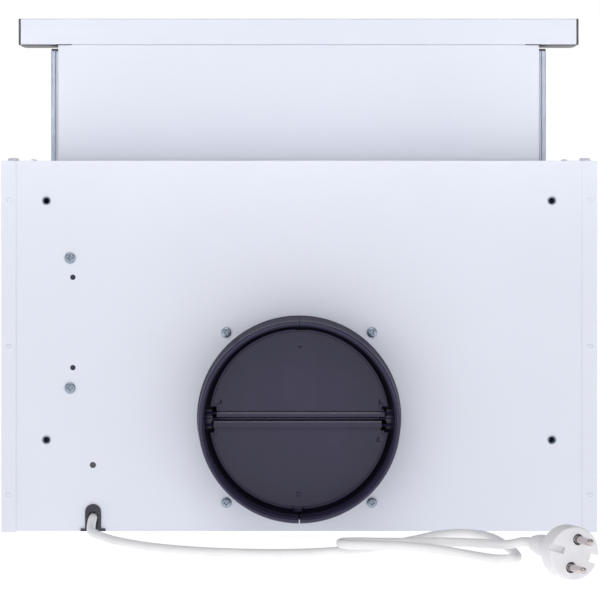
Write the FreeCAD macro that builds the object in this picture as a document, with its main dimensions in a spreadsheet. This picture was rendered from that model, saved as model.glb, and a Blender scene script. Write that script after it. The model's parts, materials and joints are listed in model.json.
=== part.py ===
import FreeCAD, Part
import math
import os
import Sketcher

# Built-in cooker hood, 45 cm wide, with a pull-out drawer.
# It stands on its rear face. +X is to the right, +Z is the way the drawer pulls out, and -Y is the
# side that is the top in use, where the duct collar is. Lengths are in millimetres.

SIZES = {
    # casing
    "body_width": 450.0,
    "body_length": 280.5,
    "body_height": 178.0,
    "sheet": 0.8,
    "side_flange": 11.3,
    "wall_gap": 4.0,
    "front_flange": 30.0,
    "low_front_flange": 18.0,
    "bottom_flange": 15.0,
    "overrun": 1.0,
    "fit_gap": 0.1,
    "running_gap": 0.3,
    "pin_gap": 0.05,
    # duct collar
    "collar_height": 45.0,
    "collar_rear_gap": 9.8,
    "collar_base_radius": 76.8,
    "collar_taper": 3.3,
    "collar_wall": 2.5,
    "collar_spigot": 14.0,
    # holes and fasteners of the plate
    "nut_inset": 34.25,
    "nut_rise": 69.75,
    "nut_drop": 30.25,
    "nut_head_radius": 3.35,
    "nut_head_height": 0.5,
    "nut_body_radius": 3.0,
    "nut_bulge_radius": 4.2,
    "nut_bulge_length": 3.0,
    "nut_length": 10.0,
    "nut_bore_radius": 2.0,
    "rivet_inset": 5.6,
    "rivet_low": 27.4,
    "rivet_middle": 139.5,
    "rivet_drop": 30.4,
    "rivet_radius": 2.5,
    "rivet_head": 0.6,
    "rivet_shank": 1.5,
    "rivet_length": 2.6,
    "front_rivet_inset": 23.0,
    "front_rivet_drop": 18.0,
    "front_rivet_head": 1.2,
    "front_screw_inset": 8.0,
    "front_screw_drop": 14.0,
    "front_screw_radius": 4.2,
    "front_screw_head": 2.2,
    "screw_x_share": 0.7161,
    "screw_z_share": 0.8366,
    "screw_head_radius": 3.9,
    "screw_head_height": 1.8,
    "screw_shank_radius": 1.75,
    "screw_length": 9.0,
    "box_screw_offset": 17.4,
    "box_screw_rise": 12.9,
    "box_screw_drop": 13.0,
    "box_screw_radius": 4.15,
    "spare_hole_offset": 15.3,
    "spare_hole_rise": 28.3,
    "spare_hole_drop": 27.5,
    "spare_hole_radius": 2.05,
    "clamp_hole_offset": 0.2,
    "clamp_hole_place": 50.8,
    "clamp_hole_radius": 2.35,
    # notch and its rubber edging
    "notch_inset": 69.5,
    "notch_half_width": 4.9,
    "notch_top": 19.9,
    "grommet_half_width": 6.05,
    "grommet_top": 21.4,
    "grommet_inner_half_width": 3.75,
    "grommet_inner_top": 15.9,
    "grommet_foot": 0.9,
    "grommet_foot_top": 3.0,
    "grommet_foot_half_width": 9.4,
    "grommet_lip": 1.5,
    # blower housing
    "blower_gap": 10.8,
    "blower_depth": 124.0,
    "scroll_side_room": 2.2,
    "scroll_wall": 2.0,
    "fan_drop": 67.0,
    "fan_tongue_drop": 33.4,
    "volute_radius": 57.0,
    "rear_bend_radius": 70.0,
    "inlet_radius": 44.0,
    "boss_radius": 4.5,
    "boss_length": 12.0,
    "ear_thickness": 6.0,
    "ear_reach": 12.0,
    "ear_height": 13.0,
    "rear_ear_reach": 7.2,
    "rear_ear_drop": 27.0,
    "tongue_ear_drop": 10.0,
    "ear_screw_radius": 1.6,
    "ear_head_radius": 3.0,
    "ear_head_height": 2.0,
    # flaps
    "flap_gap": 3.0,
    "flap_thickness": 1.6,
    "flap_shift": 1.0,
    "flap_depth": 14.0,
    "flap_hinge_offset": 4.6,
    "flap_barrel_radius": 2.0,
    "flap_pin_radius": 1.5,
    "flap_pin_gap": 1.0,
    "flap_block_gap": 0.6,
    "flap_notch_top": 10.0,
    "pivot_block_length": 6.6,
    "pivot_block_sink": 0.6,
    "pivot_block_half_height": 7.4,
    "pivot_block_half_depth": 3.0,
    "centre_bar_half_height": 1.6,
    # motor and impeller
    "shaft_radius": 3.0,
    "shaft_start": 11.0,
    "shaft_drop": 3.0,
    "can_start": 8.0,
    "can_gap": 15.0,
    "can_radius": 36.0,
    "can_wall": 1.5,
    "bush_radius": 6.0,
    "bush_length": 5.0,
    "stator_start": 22.0,
    "stator_gap": 14.0,
    "stator_bore": 19.0,
    "winding_outer": 32.0,
    "winding_inner": 21.0,
    "winding_length": 7.5,
    "rotor_radius": 18.4,
    "rotor_start": 20.0,
    "rotor_gap": 12.0,
    "bracket_disc_radius": 20.0,
    "bracket_thickness": 2.0,
    "bracket_arm_width": 10.0,
    "bracket_arm_reach": 52.0,
    "bracket_post": 5.0,
    "impeller_radius": 50.0,
    "impeller_inner_radius": 41.0,
    "impeller_gap": 17.0,
    "impeller_disc": 2.0,
    "impeller_boss_radius": 8.0,
    "impeller_boss_start": 10.0,
    "impeller_boss_end": 5.0,
    "impeller_ring_width": 2.0,
    "impeller_ring_inner": 43.0,
    "blade_thickness": 1.2,
    "blade_count": 30,
    # electrical box
    "box_beyond_notch": 49.5,
    "box_before_notch": 12.5,
    "box_low": 96.0,
    "box_drop": 60.5,
    "box_depth": 46.0,
    "box_wall": 2.0,
    "box_boss_radius": 5.0,
    "box_boss_length": 12.0,
    "cover_thickness": 2.0,
    "capacitor_radius": 14.0,
    "capacitor_gap": 2.0,
    "capacitor_rise": 26.0,
    "capacitor_drop": 48.0,
    "terminal_before_notch": 5.5,
    "terminal_beyond_notch": 8.5,
    "terminal_rise": 32.0,
    "terminal_drop": 34.0,
    "terminal_depth": 16.0,
    "clamp_half_width": 9.0,
    "clamp_half_length": 6.0,
    "clamp_depth": 14.0,
    "cord_radius": 3.25,
    "inner_cord_drop": 9.0,
    "cord_exit_shift": 0.1,
    "cord_exit_depth": 2.6,
    # underside
    "opening_side_gap": 43.4,
    "opening_low": 24.4,
    "opening_drop": 84.9,
    "filter_gap": 0.6,
    "filter_depth": 9.0,
    "filter_inset": 0.4,
    "filter_rim": 9.0,
    "mesh_thickness": 3.0,
    "mesh_groove": 4.8,
    "mesh_slot_length": 24.0,
    "mesh_slot_height": 13.0,
    "mesh_bar": 3.0,
    "filter_pin_radius": 1.5,
    "filter_pin_overhang": 4.4,
    "filter_hinge_inset": 4.0,
    "hinge_ear_gap": 0.6,
    "hinge_ear_reach": 4.6,
    "hinge_ear_low": 20.0,
    "hinge_ear_high": 36.0,
    "latch_half_width": 16.0,
    "latch_thickness": 1.4,
    "latch_length": 12.0,
    "latch_grip_height": 0.8,
    "latch_grip_length": 4.0,
    "lamp_side_gap": 115.0,
    "lamp_drop": 40.5,
    "lamp_radius": 26.0,
    "lamp_depth": 11.0,
    "lens_radius": 21.0,
    "lens_thickness": 2.0,
    "switch_side_gap": 45.0,
    "switch_width": 100.0,
    "switch_drop": 26.5,
    "switch_height": 28.0,
    "switch_depth": 10.0,
    "switch_recess": 3.6,
    "knob_track_width": 8.0,
    "knob_width": 7.4,
    "knob_length": 9.0,
    "knob_height": 3.2,
    "fan_track_inset": 10.0,
    "fan_track_length": 30.0,
    "light_track_inset": 66.0,
    "light_track_length": 18.0,
    # ball slides
    "slide_lift": 39.0,
    "slide_height": 27.0,
    "slide_thickness": 10.3,
    "slide_side_gap": 21.5,
    "slide_steel": 1.2,
    "slide_flange": 8.0,
    "inner_flange": 6.5,
    "ball_radius": 1.6,
    "ball_gap": 0.05,
    "ball_offset": 5.5,
    "ball_pitch": 22.0,
    "ball_count": 5,
    "cage_steel": 0.5,
    "cage_reach": 7.0,
    "cage_offset": 2.1,
    "cage_share": 0.48,
    "slide_low": 27.0,
    "slide_front_gap": 3.5,
    "travel_share": 0.3776,
    "slide_screw_inset": 9.0,
    "slide_head_radius": 3.2,
    "slide_head_height": 1.6,
    "slide_bracket_lift": 42.0,
    "slide_bracket_gap": 8.0,
    # drawer
    "bar_closed_gap": 0.4,
    "bar_depth": 21.0,
    "bar_height": 44.0,
    "bar_steel": 1.0,
    "bar_return": 6.0,
    "cap_thickness": 1.8,
    "cap_plug": 4.2,
    "rear_cover": 1.2,
    "panel_drop": 0.8,
    "drawer_rear_gap": 33.6,
    "drawer_flange_inset": 14.2,
    "drawer_flange_height": 14.0,
    "drawer_side_height": 27.4,
    "drawer_side_flange": 12.0,
    "drawer_mesh_inset": 14.0,
    "drawer_mesh_thickness": 4.0,
    # plug
    "plug_radius": 17.8,
    "plug_edge": 1.2,
    "plug_rim": 15.0,
    "plug_neck_radius": 8.6,
    "plug_shoulder": 25.0,
    "plug_length": 36.0,
    "relief_length": 22.0,
    "relief_start_radius": 4.4,
    "relief_end_radius": 6.7,
    "relief_ring": 1.6,
    "relief_rings": 4,
    "plug_pin_radius": 2.4,
    "plug_pin_length": 19.0,
    "plug_pin_root": 6.0,
    "plug_pin_spacing": 19.0,
    "plug_roll": 16.0,
    "plug_notch_inner": 11.2,
    "plug_notch_half_width": 2.9,
    "plug_notch_depth": 11.0,
    "earth_hole_radius": 2.5,
    "earth_hole_place": 10.0,
    "earth_hole_depth": 10.0,
    "contact_thickness": 0.7,
    "contact_half_width": 2.2,
    "contact_length": 9.0,
}

ARC_SHARE = 0.45

# Route of the mains cord, point by point, from the notch to the plug.
CORD_ROUTE = [
    (-155.4, -63.9, 11.2),
    (-155.6, -72.0, 11.0),
    (-156.1, -80.0, 6.2),
    (-155.6, -89.0, 3.35),
    (-153.2, -99.5, 3.3),
    (-148, -113.5, 3.35),
    (-140.5, -131.5, 3.3),
    (-128, -154.5, 3.35),
    (-107, -180.5, 3.3),
    (-76, -203.5, 3.35),
    (-38, -215.5, 3.3),
    (-2, -216.5, 3.35),
    (32, -202.5, 3.3),
    (60, -175.5, 3.35),
    (82, -142.5, 3.3),
    (96.5, -117.0, 3.35),
    (106, -105.0, 3.3),
    (118, -99.3, 3.35),
    (130.5, -103.0, 3.3),
    (139.5, -118.0, 3.35),
    (145, -146.5, 3.3),
    (148.5, -178.5, 3.35),
    (150.5, -205.5, 3.3),
    (151.3, -223.5, 3.35),
    (150.8, -238.0, 3.3),
    (143.6, -245.9, 3.4),
    (133.0, -245.1, 3.4),
    (120, -232.5, 4.2),
    (98, -221.5, 6.8),
    (73, -222.0, 9.3),
    (52, -227.8, 10.8),
    (36.3, -229.0, 11.0),
    (28.6, -221.7, 10.9),
    (28.6, -211.3, 10.5),
    (36.3, -204.5, 10.2),
    (54, -208.0, 10.3),
    (78, -213.5, 10.9),
    (100, -214.0, 11.3),
    (119, -220.0, 11.5),
    (132, -228.0, 11.7),
    (142, -237.5, 12.2),
    (148.2, -247.7, 14.4),
    (154.1, -259.3, 17.8),
    (159.5, -272.7, 17.8),
]

# Route of the same cord inside the casing, from the notch to the terminal box.
INNER_ROUTE = [
    (-155.4, -63.9, 11.2),
    (-155.22, -56.6, 11.38),
    (-155.3, -50.6, 15.4),
    (-155.5, -49.6, 24.4),
    (-155.7, -53.2, 34.0),
    (-155.7, -57.4, 41.0),
    (-155.6, -57.5, 55.0),
    (-155.7, -57.6, 74.0),
    (-155.6, -57.5, 94.0),
    (-155.7, -57.6, 112.0),
]

doc = FreeCAD.newDocument("CookerHood")
sheet = doc.addObject("Spreadsheet::Sheet", "Sizes")


class Size:
    """A size that knows its value and the sheet expression that gives it."""

    def __init__(self, text, value):
        self.text = text
        self.value = value

    def __add__(self, other):
        other = as_size(other)
        return Size("(%s + %s)" % (self.text, other.text), self.value + other.value)

    def __sub__(self, other):
        other = as_size(other)
        return Size("(%s - %s)" % (self.text, other.text), self.value - other.value)

    def __mul__(self, other):
        other = as_size(other)
        return Size("(%s * %s)" % (self.text, other.text), self.value * other.value)

    def __truediv__(self, other):
        other = as_size(other)
        return Size("(%s / %s)" % (self.text, other.text), self.value / other.value)

    def __neg__(self):
        return Size("(0 - %s)" % self.text, -self.value)


def as_size(number):
    """A plain number as a size, for halves, counts and zero."""
    if isinstance(number, Size):
        return number
    return Size(repr(number), number)


def root(square):
    """Square root of a size."""
    return Size("sqrt(%s)" % square.text, math.sqrt(square.value))


class Table:
    """The driving sizes by name."""


def fill_sheet():
    """Write every driving size into the sheet and return them by name."""
    table = Table()
    for row, (name, value) in enumerate(SIZES.items(), start=1):
        sheet.set("A%d" % row, name.replace("_", " "))
        sheet.set("B%d" % row, str(value))
        sheet.setAlias("B%d" % row, name)
        setattr(table, name, Size("Sizes." + name, value))
    return table


S = fill_sheet()
doc.recompute()
ZERO = Size("0", 0.0)
NODES = []

HALF_WIDTH = S.body_width / 2

# Height of the plate's outer face above the part's origin, along Y.
PLATE = (S.collar_height - S.body_height) / 2


def place_collar():
    """Sizes of the collar, its flaps and what turns below it, from the collar's foot."""
    S.collar_place = S.collar_base_radius + S.collar_rear_gap
    S.collar_rim_radius = S.collar_base_radius - S.collar_taper
    bore = S.collar_rim_radius - S.collar_wall
    S.flap_radius = bore - S.flap_gap
    S.flap_pin_reach = bore - S.flap_pin_gap
    S.pivot_block_outer = bore + S.pivot_block_sink
    S.pivot_block_inner = S.pivot_block_outer - S.pivot_block_length
    S.flap_half_width = S.pivot_block_inner - S.flap_block_gap
    S.scroll_half_width = S.collar_base_radius + S.scroll_side_room
    S.impeller_half_length = S.scroll_half_width - S.impeller_gap
    S.can_end = S.scroll_half_width - S.can_gap
    S.stator_end = S.can_end - S.stator_gap
    S.rotor_end = S.can_end - S.rotor_gap
    S.shaft_end = S.can_end - S.shaft_drop
    S.fan_place = S.collar_place + S.collar_base_radius - S.fan_tongue_drop


def place_fasteners():
    """Places of the holes, nuts, rivets and screws, from the casing's edges."""
    S.nut_x = HALF_WIDTH - S.nut_inset
    S.nut_high = S.body_length - S.nut_drop
    S.rivet_high = S.body_length - S.rivet_drop
    S.front_rivet_place = HALF_WIDTH - S.front_rivet_inset
    S.front_screw_place = HALF_WIDTH - S.front_screw_inset


def place_electrics():
    """Places of the box and of what goes with it, from the notch that the cord leaves by."""
    S.notch_x = HALF_WIDTH - S.notch_inset
    S.clamp_hole_x = S.notch_x + S.clamp_hole_offset
    S.box_outer = S.notch_x + S.box_beyond_notch
    S.box_inner = S.notch_x - S.box_before_notch
    S.box_high = S.body_length - S.box_drop
    S.box_screw_x = S.notch_x + S.box_screw_offset
    S.box_screw_low = S.box_low + S.box_screw_rise
    S.box_screw_high = S.box_high - S.box_screw_drop
    S.spare_hole_x = S.notch_x + S.spare_hole_offset
    S.spare_hole_low = S.box_low + S.spare_hole_rise
    S.spare_hole_high = S.box_high - S.spare_hole_drop
    S.capacitor_x = S.box_outer - S.box_wall - S.capacitor_radius - S.capacitor_gap
    S.capacitor_low = S.box_low + S.capacitor_rise
    S.capacitor_high = S.box_high - S.capacitor_drop
    S.terminal_outer = S.notch_x + S.terminal_beyond_notch
    S.terminal_inner = S.notch_x - S.terminal_before_notch
    S.terminal_low = S.box_low + S.terminal_rise
    S.terminal_high = S.box_high - S.terminal_drop


def place_slides():
    """Places of the slides and the drawer, from the side sheets and the underside."""
    S.slide_length = S.body_length - S.slide_low - S.slide_front_gap
    S.drawer_travel = S.slide_length * S.travel_share
    S.cage_length = S.slide_length * S.cage_share
    S.slide_outer_face = HALF_WIDTH - S.slide_side_gap
    S.slide_inner_face = S.slide_outer_face - S.slide_thickness
    S.slide_flange_end = S.slide_outer_face - S.slide_flange
    S.inner_flange_end = S.slide_inner_face + S.inner_flange
    S.ball_x = S.slide_outer_face - S.ball_offset
    S.cage_start = S.slide_outer_face - S.cage_reach
    S.cage_end = S.slide_outer_face - S.cage_offset
    S.cage_low = S.slide_low + (S.slide_length + S.drawer_travel - S.cage_length) / 2
    S.slide_top = S.body_height - S.slide_lift
    S.slide_bracket_top = S.body_height - S.slide_bracket_lift
    S.slide_bracket_bottom = S.body_height - S.slide_bracket_gap
    S.bar_place = S.body_length + S.drawer_travel + S.bar_closed_gap
    S.bar_top = S.body_height - S.bar_height
    S.front_wall = S.bar_top - S.wall_gap
    S.panel_top = S.bar_top + S.panel_drop
    S.drawer_low = S.drawer_travel + S.drawer_rear_gap
    S.drawer_mesh_low = S.drawer_low + S.drawer_mesh_inset
    S.drawer_flange_half = S.slide_inner_face - S.drawer_flange_inset


def place_underside():
    """Places of the filter, the lamp and the switches, from the underside's edges."""
    S.opening_half_width = HALF_WIDTH - S.opening_side_gap
    S.opening_high = S.body_length - S.opening_drop
    S.filter_pin_reach = S.opening_half_width + S.filter_pin_overhang
    S.hinge_ear_inner = S.opening_half_width + S.hinge_ear_gap
    S.hinge_ear_outer = S.opening_half_width + S.hinge_ear_reach
    S.lamp_x = HALF_WIDTH - S.lamp_side_gap
    S.lamp_place = S.body_length - S.lamp_drop
    S.panel_outer = HALF_WIDTH - S.switch_side_gap
    S.panel_inner = S.panel_outer - S.switch_width
    S.panel_high = S.body_length - S.switch_drop
    S.panel_low = S.panel_high - S.switch_height
    S.fan_track_start = S.panel_inner + S.fan_track_inset
    S.light_track_start = S.panel_inner + S.light_track_inset


def fit_blower():
    """The blower's own sizes are for its full depth, and follow the room above the drawer."""
    room = (S.panel_top - S.blower_gap) / S.blower_depth
    for name in (
            "fan_drop", "volute_radius", "rear_bend_radius", "inlet_radius", "can_radius",
            "winding_outer", "winding_inner", "stator_bore", "rotor_radius",
            "bracket_arm_reach", "impeller_radius", "impeller_inner_radius",
            "impeller_ring_inner"):
        setattr(S, name, getattr(S, name) * room)


place_collar()
place_fasteners()
place_electrics()
place_slides()
place_underside()
fit_blower()


def deep(depth):
    """Y of a place that lies this deep below the plate's outer face."""
    return PLATE + depth


def bind(thing, name, size):
    """Tie one property of an object to the sheet."""
    thing.setExpression(name, as_size(size).text)


def put(thing, x, y, z, rotation=None):
    """Place an object, with its base tied to the sheet."""
    spot = FreeCAD.Vector(as_size(x).value, as_size(y).value, as_size(z).value)
    thing.Placement = FreeCAD.Placement(spot, rotation or FreeCAD.Rotation())
    bind(thing, "Placement.Base.x", x)
    bind(thing, "Placement.Base.y", y)
    bind(thing, "Placement.Base.z", z)


def node(thing, label):
    """Keep an object as a sub-part under its own name."""
    thing.Label = label
    NODES.append(thing)
    return thing


def across(sign, inner, outer):
    """Span in X on one side of the middle plane, low end first."""
    if sign > 0:
        return inner, outer
    return -outer, -inner


def box(name, x, y, z):
    """Block between three pairs of places."""
    thing = doc.addObject("Part::Box", name)
    bind(thing, "Length", x[1] - x[0])
    bind(thing, "Width", y[1] - y[0])
    bind(thing, "Height", z[1] - z[0])
    put(thing, x[0], y[0], z[0])
    return thing


AXIS_TURNS = {
    "x": FreeCAD.Rotation(FreeCAD.Vector(0, 1, 0), 90),
    "y": FreeCAD.Rotation(FreeCAD.Vector(1, 0, 0), -90),
    "z": FreeCAD.Rotation(),
}


def axis_base(axis, start, first, second):
    """Base point of a round piece from its start and the two places of its axis."""
    if axis == "x":
        return start, first, second
    if axis == "y":
        return first, start, second
    return first, second, start


def rod(name, axis, first, second, start, end, radius):
    """Round rod along an axis, between two places on it."""
    thing = doc.addObject("Part::Cylinder", name)
    bind(thing, "Radius", radius)
    bind(thing, "Height", end - start)
    put(thing, *axis_base(axis, start, first, second), AXIS_TURNS[axis])
    return thing


def fuse(name, *parts):
    """One solid from several that touch."""
    thing = doc.addObject("Part::MultiFuse", name)
    thing.Shapes = list(parts)
    thing.Refine = True
    return thing


def cut(name, base, *tools):
    """A solid less one or more others."""
    thing = doc.addObject("Part::Cut", name)
    thing.Base = base
    thing.Tool = tools[0] if len(tools) == 1 else fuse(name + "_tools", *tools)
    return thing


def group(name, parts):
    """Separate solids that share one sub-part."""
    thing = doc.addObject("Part::Compound", name)
    thing.Links = list(parts)
    return thing


def ring(name, axis, first, second, start, end, outer, inner):
    """Round ring along an axis."""
    whole = rod(name + "_outer", axis, first, second, start, end, outer)
    bore = rod(name + "_bore", axis, first, second, start - S.overrun, end + S.overrun, inner)
    return cut(name, whole, bore)


class Bend:
    """An arc that follows a corner of an outline: its centre, its radius and its sense."""

    def __init__(self, first, second, radius, sense):
        self.centre = (first, second)
        self.radius = radius
        self.sense = sense


def body(name):
    """An empty body."""
    return doc.addObject("PartDesign::Body", name)


def flat_point(corner):
    """A corner of an outline as a vector in the sketch."""
    return FreeCAD.Vector(as_size(corner[0]).value, as_size(corner[1]).value, 0)


def arc_between(start, end, bend):
    """The arc about the bend's centre from start to end."""
    centre = flat_point(bend.centre)
    ends = (start, end) if bend.sense > 0 else (end, start)
    angles = [math.atan2(point.y - centre.y, point.x - centre.x) for point in ends]
    if angles[1] <= angles[0]:
        angles[1] += 2 * math.pi
    circle = Part.Circle(centre, FreeCAD.Vector(0, 0, 1), bend.radius.value)
    return Part.ArcOfCircle(circle, angles[0], angles[1])


def add_outline(drawing, corners):
    """Closed outline of straight edges and arcs, each corner held by two sizes."""
    first = drawing.GeometryCount
    count = len(corners)
    rules = []
    sizes = []
    heads = []
    tails = []
    for index, corner in enumerate(corners):
        start = flat_point(corner)
        end = flat_point(corners[(index + 1) % count])
        if len(corner) == 3:
            drawing.addGeometry(arc_between(start, end, corner[2]), False)
            chord = end - start
            flat = abs(chord.x) > abs(chord.y)
            place = as_size(corner[2].centre[1 if flat else 0])
            way = "DistanceY" if flat else "DistanceX"
            rules.append(Sketcher.Constraint(way, -1, 1, first + index, 3, place.value))
            sizes.append(place)
            backwards = corner[2].sense < 0
        else:
            drawing.addGeometry(Part.LineSegment(start, end), False)
            backwards = False
        heads.append(2 if backwards else 1)
        tails.append(1 if backwards else 2)
        for way, place in (("DistanceX", corner[0]), ("DistanceY", corner[1])):
            place = as_size(place)
            rules.append(Sketcher.Constraint(way, -1, 1, first + index, heads[-1], place.value))
            sizes.append(place)
    for index in range(count):
        after = (index + 1) % count
        rules.append(Sketcher.Constraint(
            "Coincident", first + index, tails[index], first + after, heads[after]))
        sizes.append(None)
    add_rules(drawing, rules, sizes)


def add_circle(drawing, circle):
    """A circle given by the two places of its centre and its radius."""
    index = drawing.GeometryCount
    centre = flat_point(circle)
    radius = circle[2]
    drawing.addGeometry(Part.Circle(centre, FreeCAD.Vector(0, 0, 1), radius.value), False)
    rules = [Sketcher.Constraint("Radius", index, radius.value)]
    sizes = [radius]
    for way, place in (("DistanceX", circle[0]), ("DistanceY", circle[1])):
        place = as_size(place)
        rules.append(Sketcher.Constraint(way, -1, 1, index, 3, place.value))
        sizes.append(place)
    add_rules(drawing, rules, sizes)


def add_rules(drawing, rules, sizes):
    """Add constraints together, each tied to its size."""
    first = drawing.ConstraintCount
    drawing.addConstraint(rules)
    for index, place in enumerate(sizes):
        if place is not None:
            drawing.setExpression("Constraints[%d]" % (first + index), place.text)


def sketch(owner, role, offset, outlines, circles):
    """A sketch on one of the body's own planes, moved along its normal."""
    drawing = owner.newObject("Sketcher::SketchObject", owner.Name + "_sketch")
    plane = [item for item in owner.Origin.OriginFeatures if item.Role == role][0]
    drawing.AttachmentSupport = [(plane, "")]
    drawing.MapMode = "FlatFace"
    bind(drawing, "AttachmentOffset.Base.z", offset)
    for outline in outlines:
        add_outline(drawing, outline)
    for circle in circles:
        add_circle(drawing, circle)
    return drawing


def pad(owner, role, start, end, outlines=(), circles=()):
    """Material between two places across a plane. The XZ plane's normal is -Y."""
    base = -end if role == "XZ_Plane" else as_size(start)
    drawing = sketch(owner, role, base, outlines, circles)
    feature = owner.newObject("PartDesign::Pad", owner.Name + "_pad")
    feature.Profile = drawing
    bind(feature, "Length", end - start)
    owner.Tip = feature
    return feature


def pocket(owner, role, start, end, outlines=(), circles=()):
    """A cut between two places across a plane."""
    base = -start if role == "XZ_Plane" else as_size(end)
    drawing = sketch(owner, role, base, outlines, circles)
    feature = owner.newObject("PartDesign::Pocket", owner.Name + "_pocket")
    feature.Profile = drawing
    bind(feature, "Length", end - start)
    owner.Tip = feature
    return feature


def rectangle(low_first, low_second, high_first, high_second):
    """Outline of a rectangle."""
    return [
        (low_first, low_second),
        (high_first, low_second),
        (high_first, high_second),
        (low_first, high_second),
    ]


SIDES = {"left": -1, "right": 1}


# Casing
def nut_places():
    """Centres of the four mounting nuts."""
    for x in (-S.nut_x, S.nut_x):
        for z in (S.nut_rise, S.nut_high):
            yield x, z


def collar_screw_places():
    """Centres of the four screws round the collar."""
    side = S.collar_base_radius * S.screw_x_share
    rise = S.collar_base_radius * S.screw_z_share
    for x in (-side, side):
        for z in (S.collar_place - rise, S.collar_place + rise):
            yield x, z


def rivet_places(sign):
    """Centres of the three rivets of one side flange."""
    x = (HALF_WIDTH - S.rivet_inset) * sign
    for z in (S.rivet_low, S.rivet_middle, S.rivet_high):
        yield x, z


def box_screw_places():
    """Centres of the two screws of the terminal box."""
    for z in (S.box_screw_low, S.box_screw_high):
        yield -S.box_screw_x, z


def arch(x, low, top, half_width):
    """Outline of an upright arch with a round top."""
    shoulder = top - half_width
    return [
        (x - half_width, low),
        (x + half_width, low),
        (x + half_width, shoulder, Bend(x, shoulder, half_width, 1)),
        (x - half_width, shoulder),
    ]


def make_wrapper():
    """The sheet that makes the top plate, the rear wall and the front wall."""
    low = S.sheet
    high = S.body_length
    part = body("casing_wrapper")
    profile = [
        (deep(S.front_wall), high),
        (deep(ZERO), high),
        (deep(ZERO), low),
        (deep(S.body_height - S.sheet), low),
        (deep(S.body_height - S.sheet), low + S.sheet),
        (deep(S.sheet), low + S.sheet),
        (deep(S.sheet), high - S.sheet),
        (deep(S.front_wall), high - S.sheet),
    ]
    inside = HALF_WIDTH - S.sheet
    pad(part, "YZ_Plane", -inside, inside, [profile])
    holes = [(ZERO, S.collar_place, S.collar_base_radius + S.running_gap)]
    holes += [(x, z, S.nut_body_radius + S.pin_gap) for x, z in nut_places()]
    holes += [(x, z, S.screw_shank_radius + S.pin_gap) for x, z in collar_screw_places()]
    holes += [(x, z, S.screw_shank_radius + S.pin_gap) for x, z in box_screw_places()]
    for sign in SIDES.values():
        holes += [(x, z, S.rivet_shank + S.pin_gap) for x, z in rivet_places(sign)]
    holes += [(-S.spare_hole_x, z, S.spare_hole_radius) for z in (S.spare_hole_low, S.spare_hole_high)]
    holes += [(-S.clamp_hole_x, S.clamp_hole_place, S.clamp_hole_radius)]
    pocket(part, "XZ_Plane", deep(-S.overrun), deep(S.sheet + S.overrun), circles=holes)
    notch = arch(-S.notch_x, low - S.overrun, S.notch_top, S.notch_half_width)
    pocket(part, "XZ_Plane", deep(-S.overrun), deep(S.sheet + S.grommet_lip + S.fit_gap), [notch])
    front_holes = []
    for sign in SIDES.values():
        screw = (S.front_screw_place * sign, deep(S.front_screw_drop), S.screw_shank_radius + S.pin_gap)
        rivet = (S.front_rivet_place * sign, deep(S.front_rivet_drop), S.rivet_shank + S.pin_gap)
        front_holes += [screw, rivet]
    pocket(part, "XY_Plane", high - S.sheet - S.overrun, high + S.overrun, circles=front_holes)
    node(part, "casing_wrapper")


def make_side_panel(side, sign):
    """Side sheet with flanges over the plate and the rear wall, behind the front wall and below."""
    name = "side_panel_" + side
    high = S.body_length
    depth = (deep(-S.sheet), deep(S.body_height))
    web = box(name + "_web", across(sign, HALF_WIDTH - S.sheet, HALF_WIDTH), depth, (ZERO, high))
    flange = across(sign, HALF_WIDTH - S.side_flange, HALF_WIDTH)
    top = box(name + "_top", flange, (deep(-S.sheet), deep(ZERO)), (ZERO, high))
    rear = box(name + "_rear", flange, depth, (ZERO, S.sheet))
    front_x = across(sign, HALF_WIDTH - S.front_flange, HALF_WIDTH - S.sheet)
    front_z = (high - S.sheet * 2, high - S.sheet)
    front = box(name + "_front", front_x, (deep(S.sheet), deep(S.front_wall)), front_z)
    low_x = across(sign, HALF_WIDTH - S.low_front_flange, HALF_WIDTH - S.sheet)
    low_front = box(name + "_low_front", low_x, (deep(S.front_wall), depth[1] - S.sheet), front_z)
    bottom_x = across(sign, HALF_WIDTH - S.bottom_flange, HALF_WIDTH - S.sheet)
    bottom_y = (depth[1] - S.sheet * 2, depth[1] - S.sheet)
    bottom = box(name + "_bottom", bottom_x, bottom_y, (S.sheet * 2, high - S.sheet * 2))
    whole = fuse(name + "_sheet", web, top, rear, front, low_front, bottom)
    holes = []
    for x, z in rivet_places(sign):
        holes.append(rod(name + "_hole", "y", x, z, deep(-S.sheet - S.overrun), deep(ZERO + S.overrun),
                         S.rivet_shank + S.pin_gap))
    for place, drop, radius in (
            (S.front_screw_place, S.front_screw_drop, S.screw_shank_radius),
            (S.front_rivet_place, S.front_rivet_drop, S.rivet_shank)):
        holes.append(rod(name + "_hole", "z", place * sign, deep(drop), front_z[0] - S.overrun,
                         front_z[1] + S.overrun, radius + S.pin_gap))
    node(cut(name, whole, *holes), name)


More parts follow.
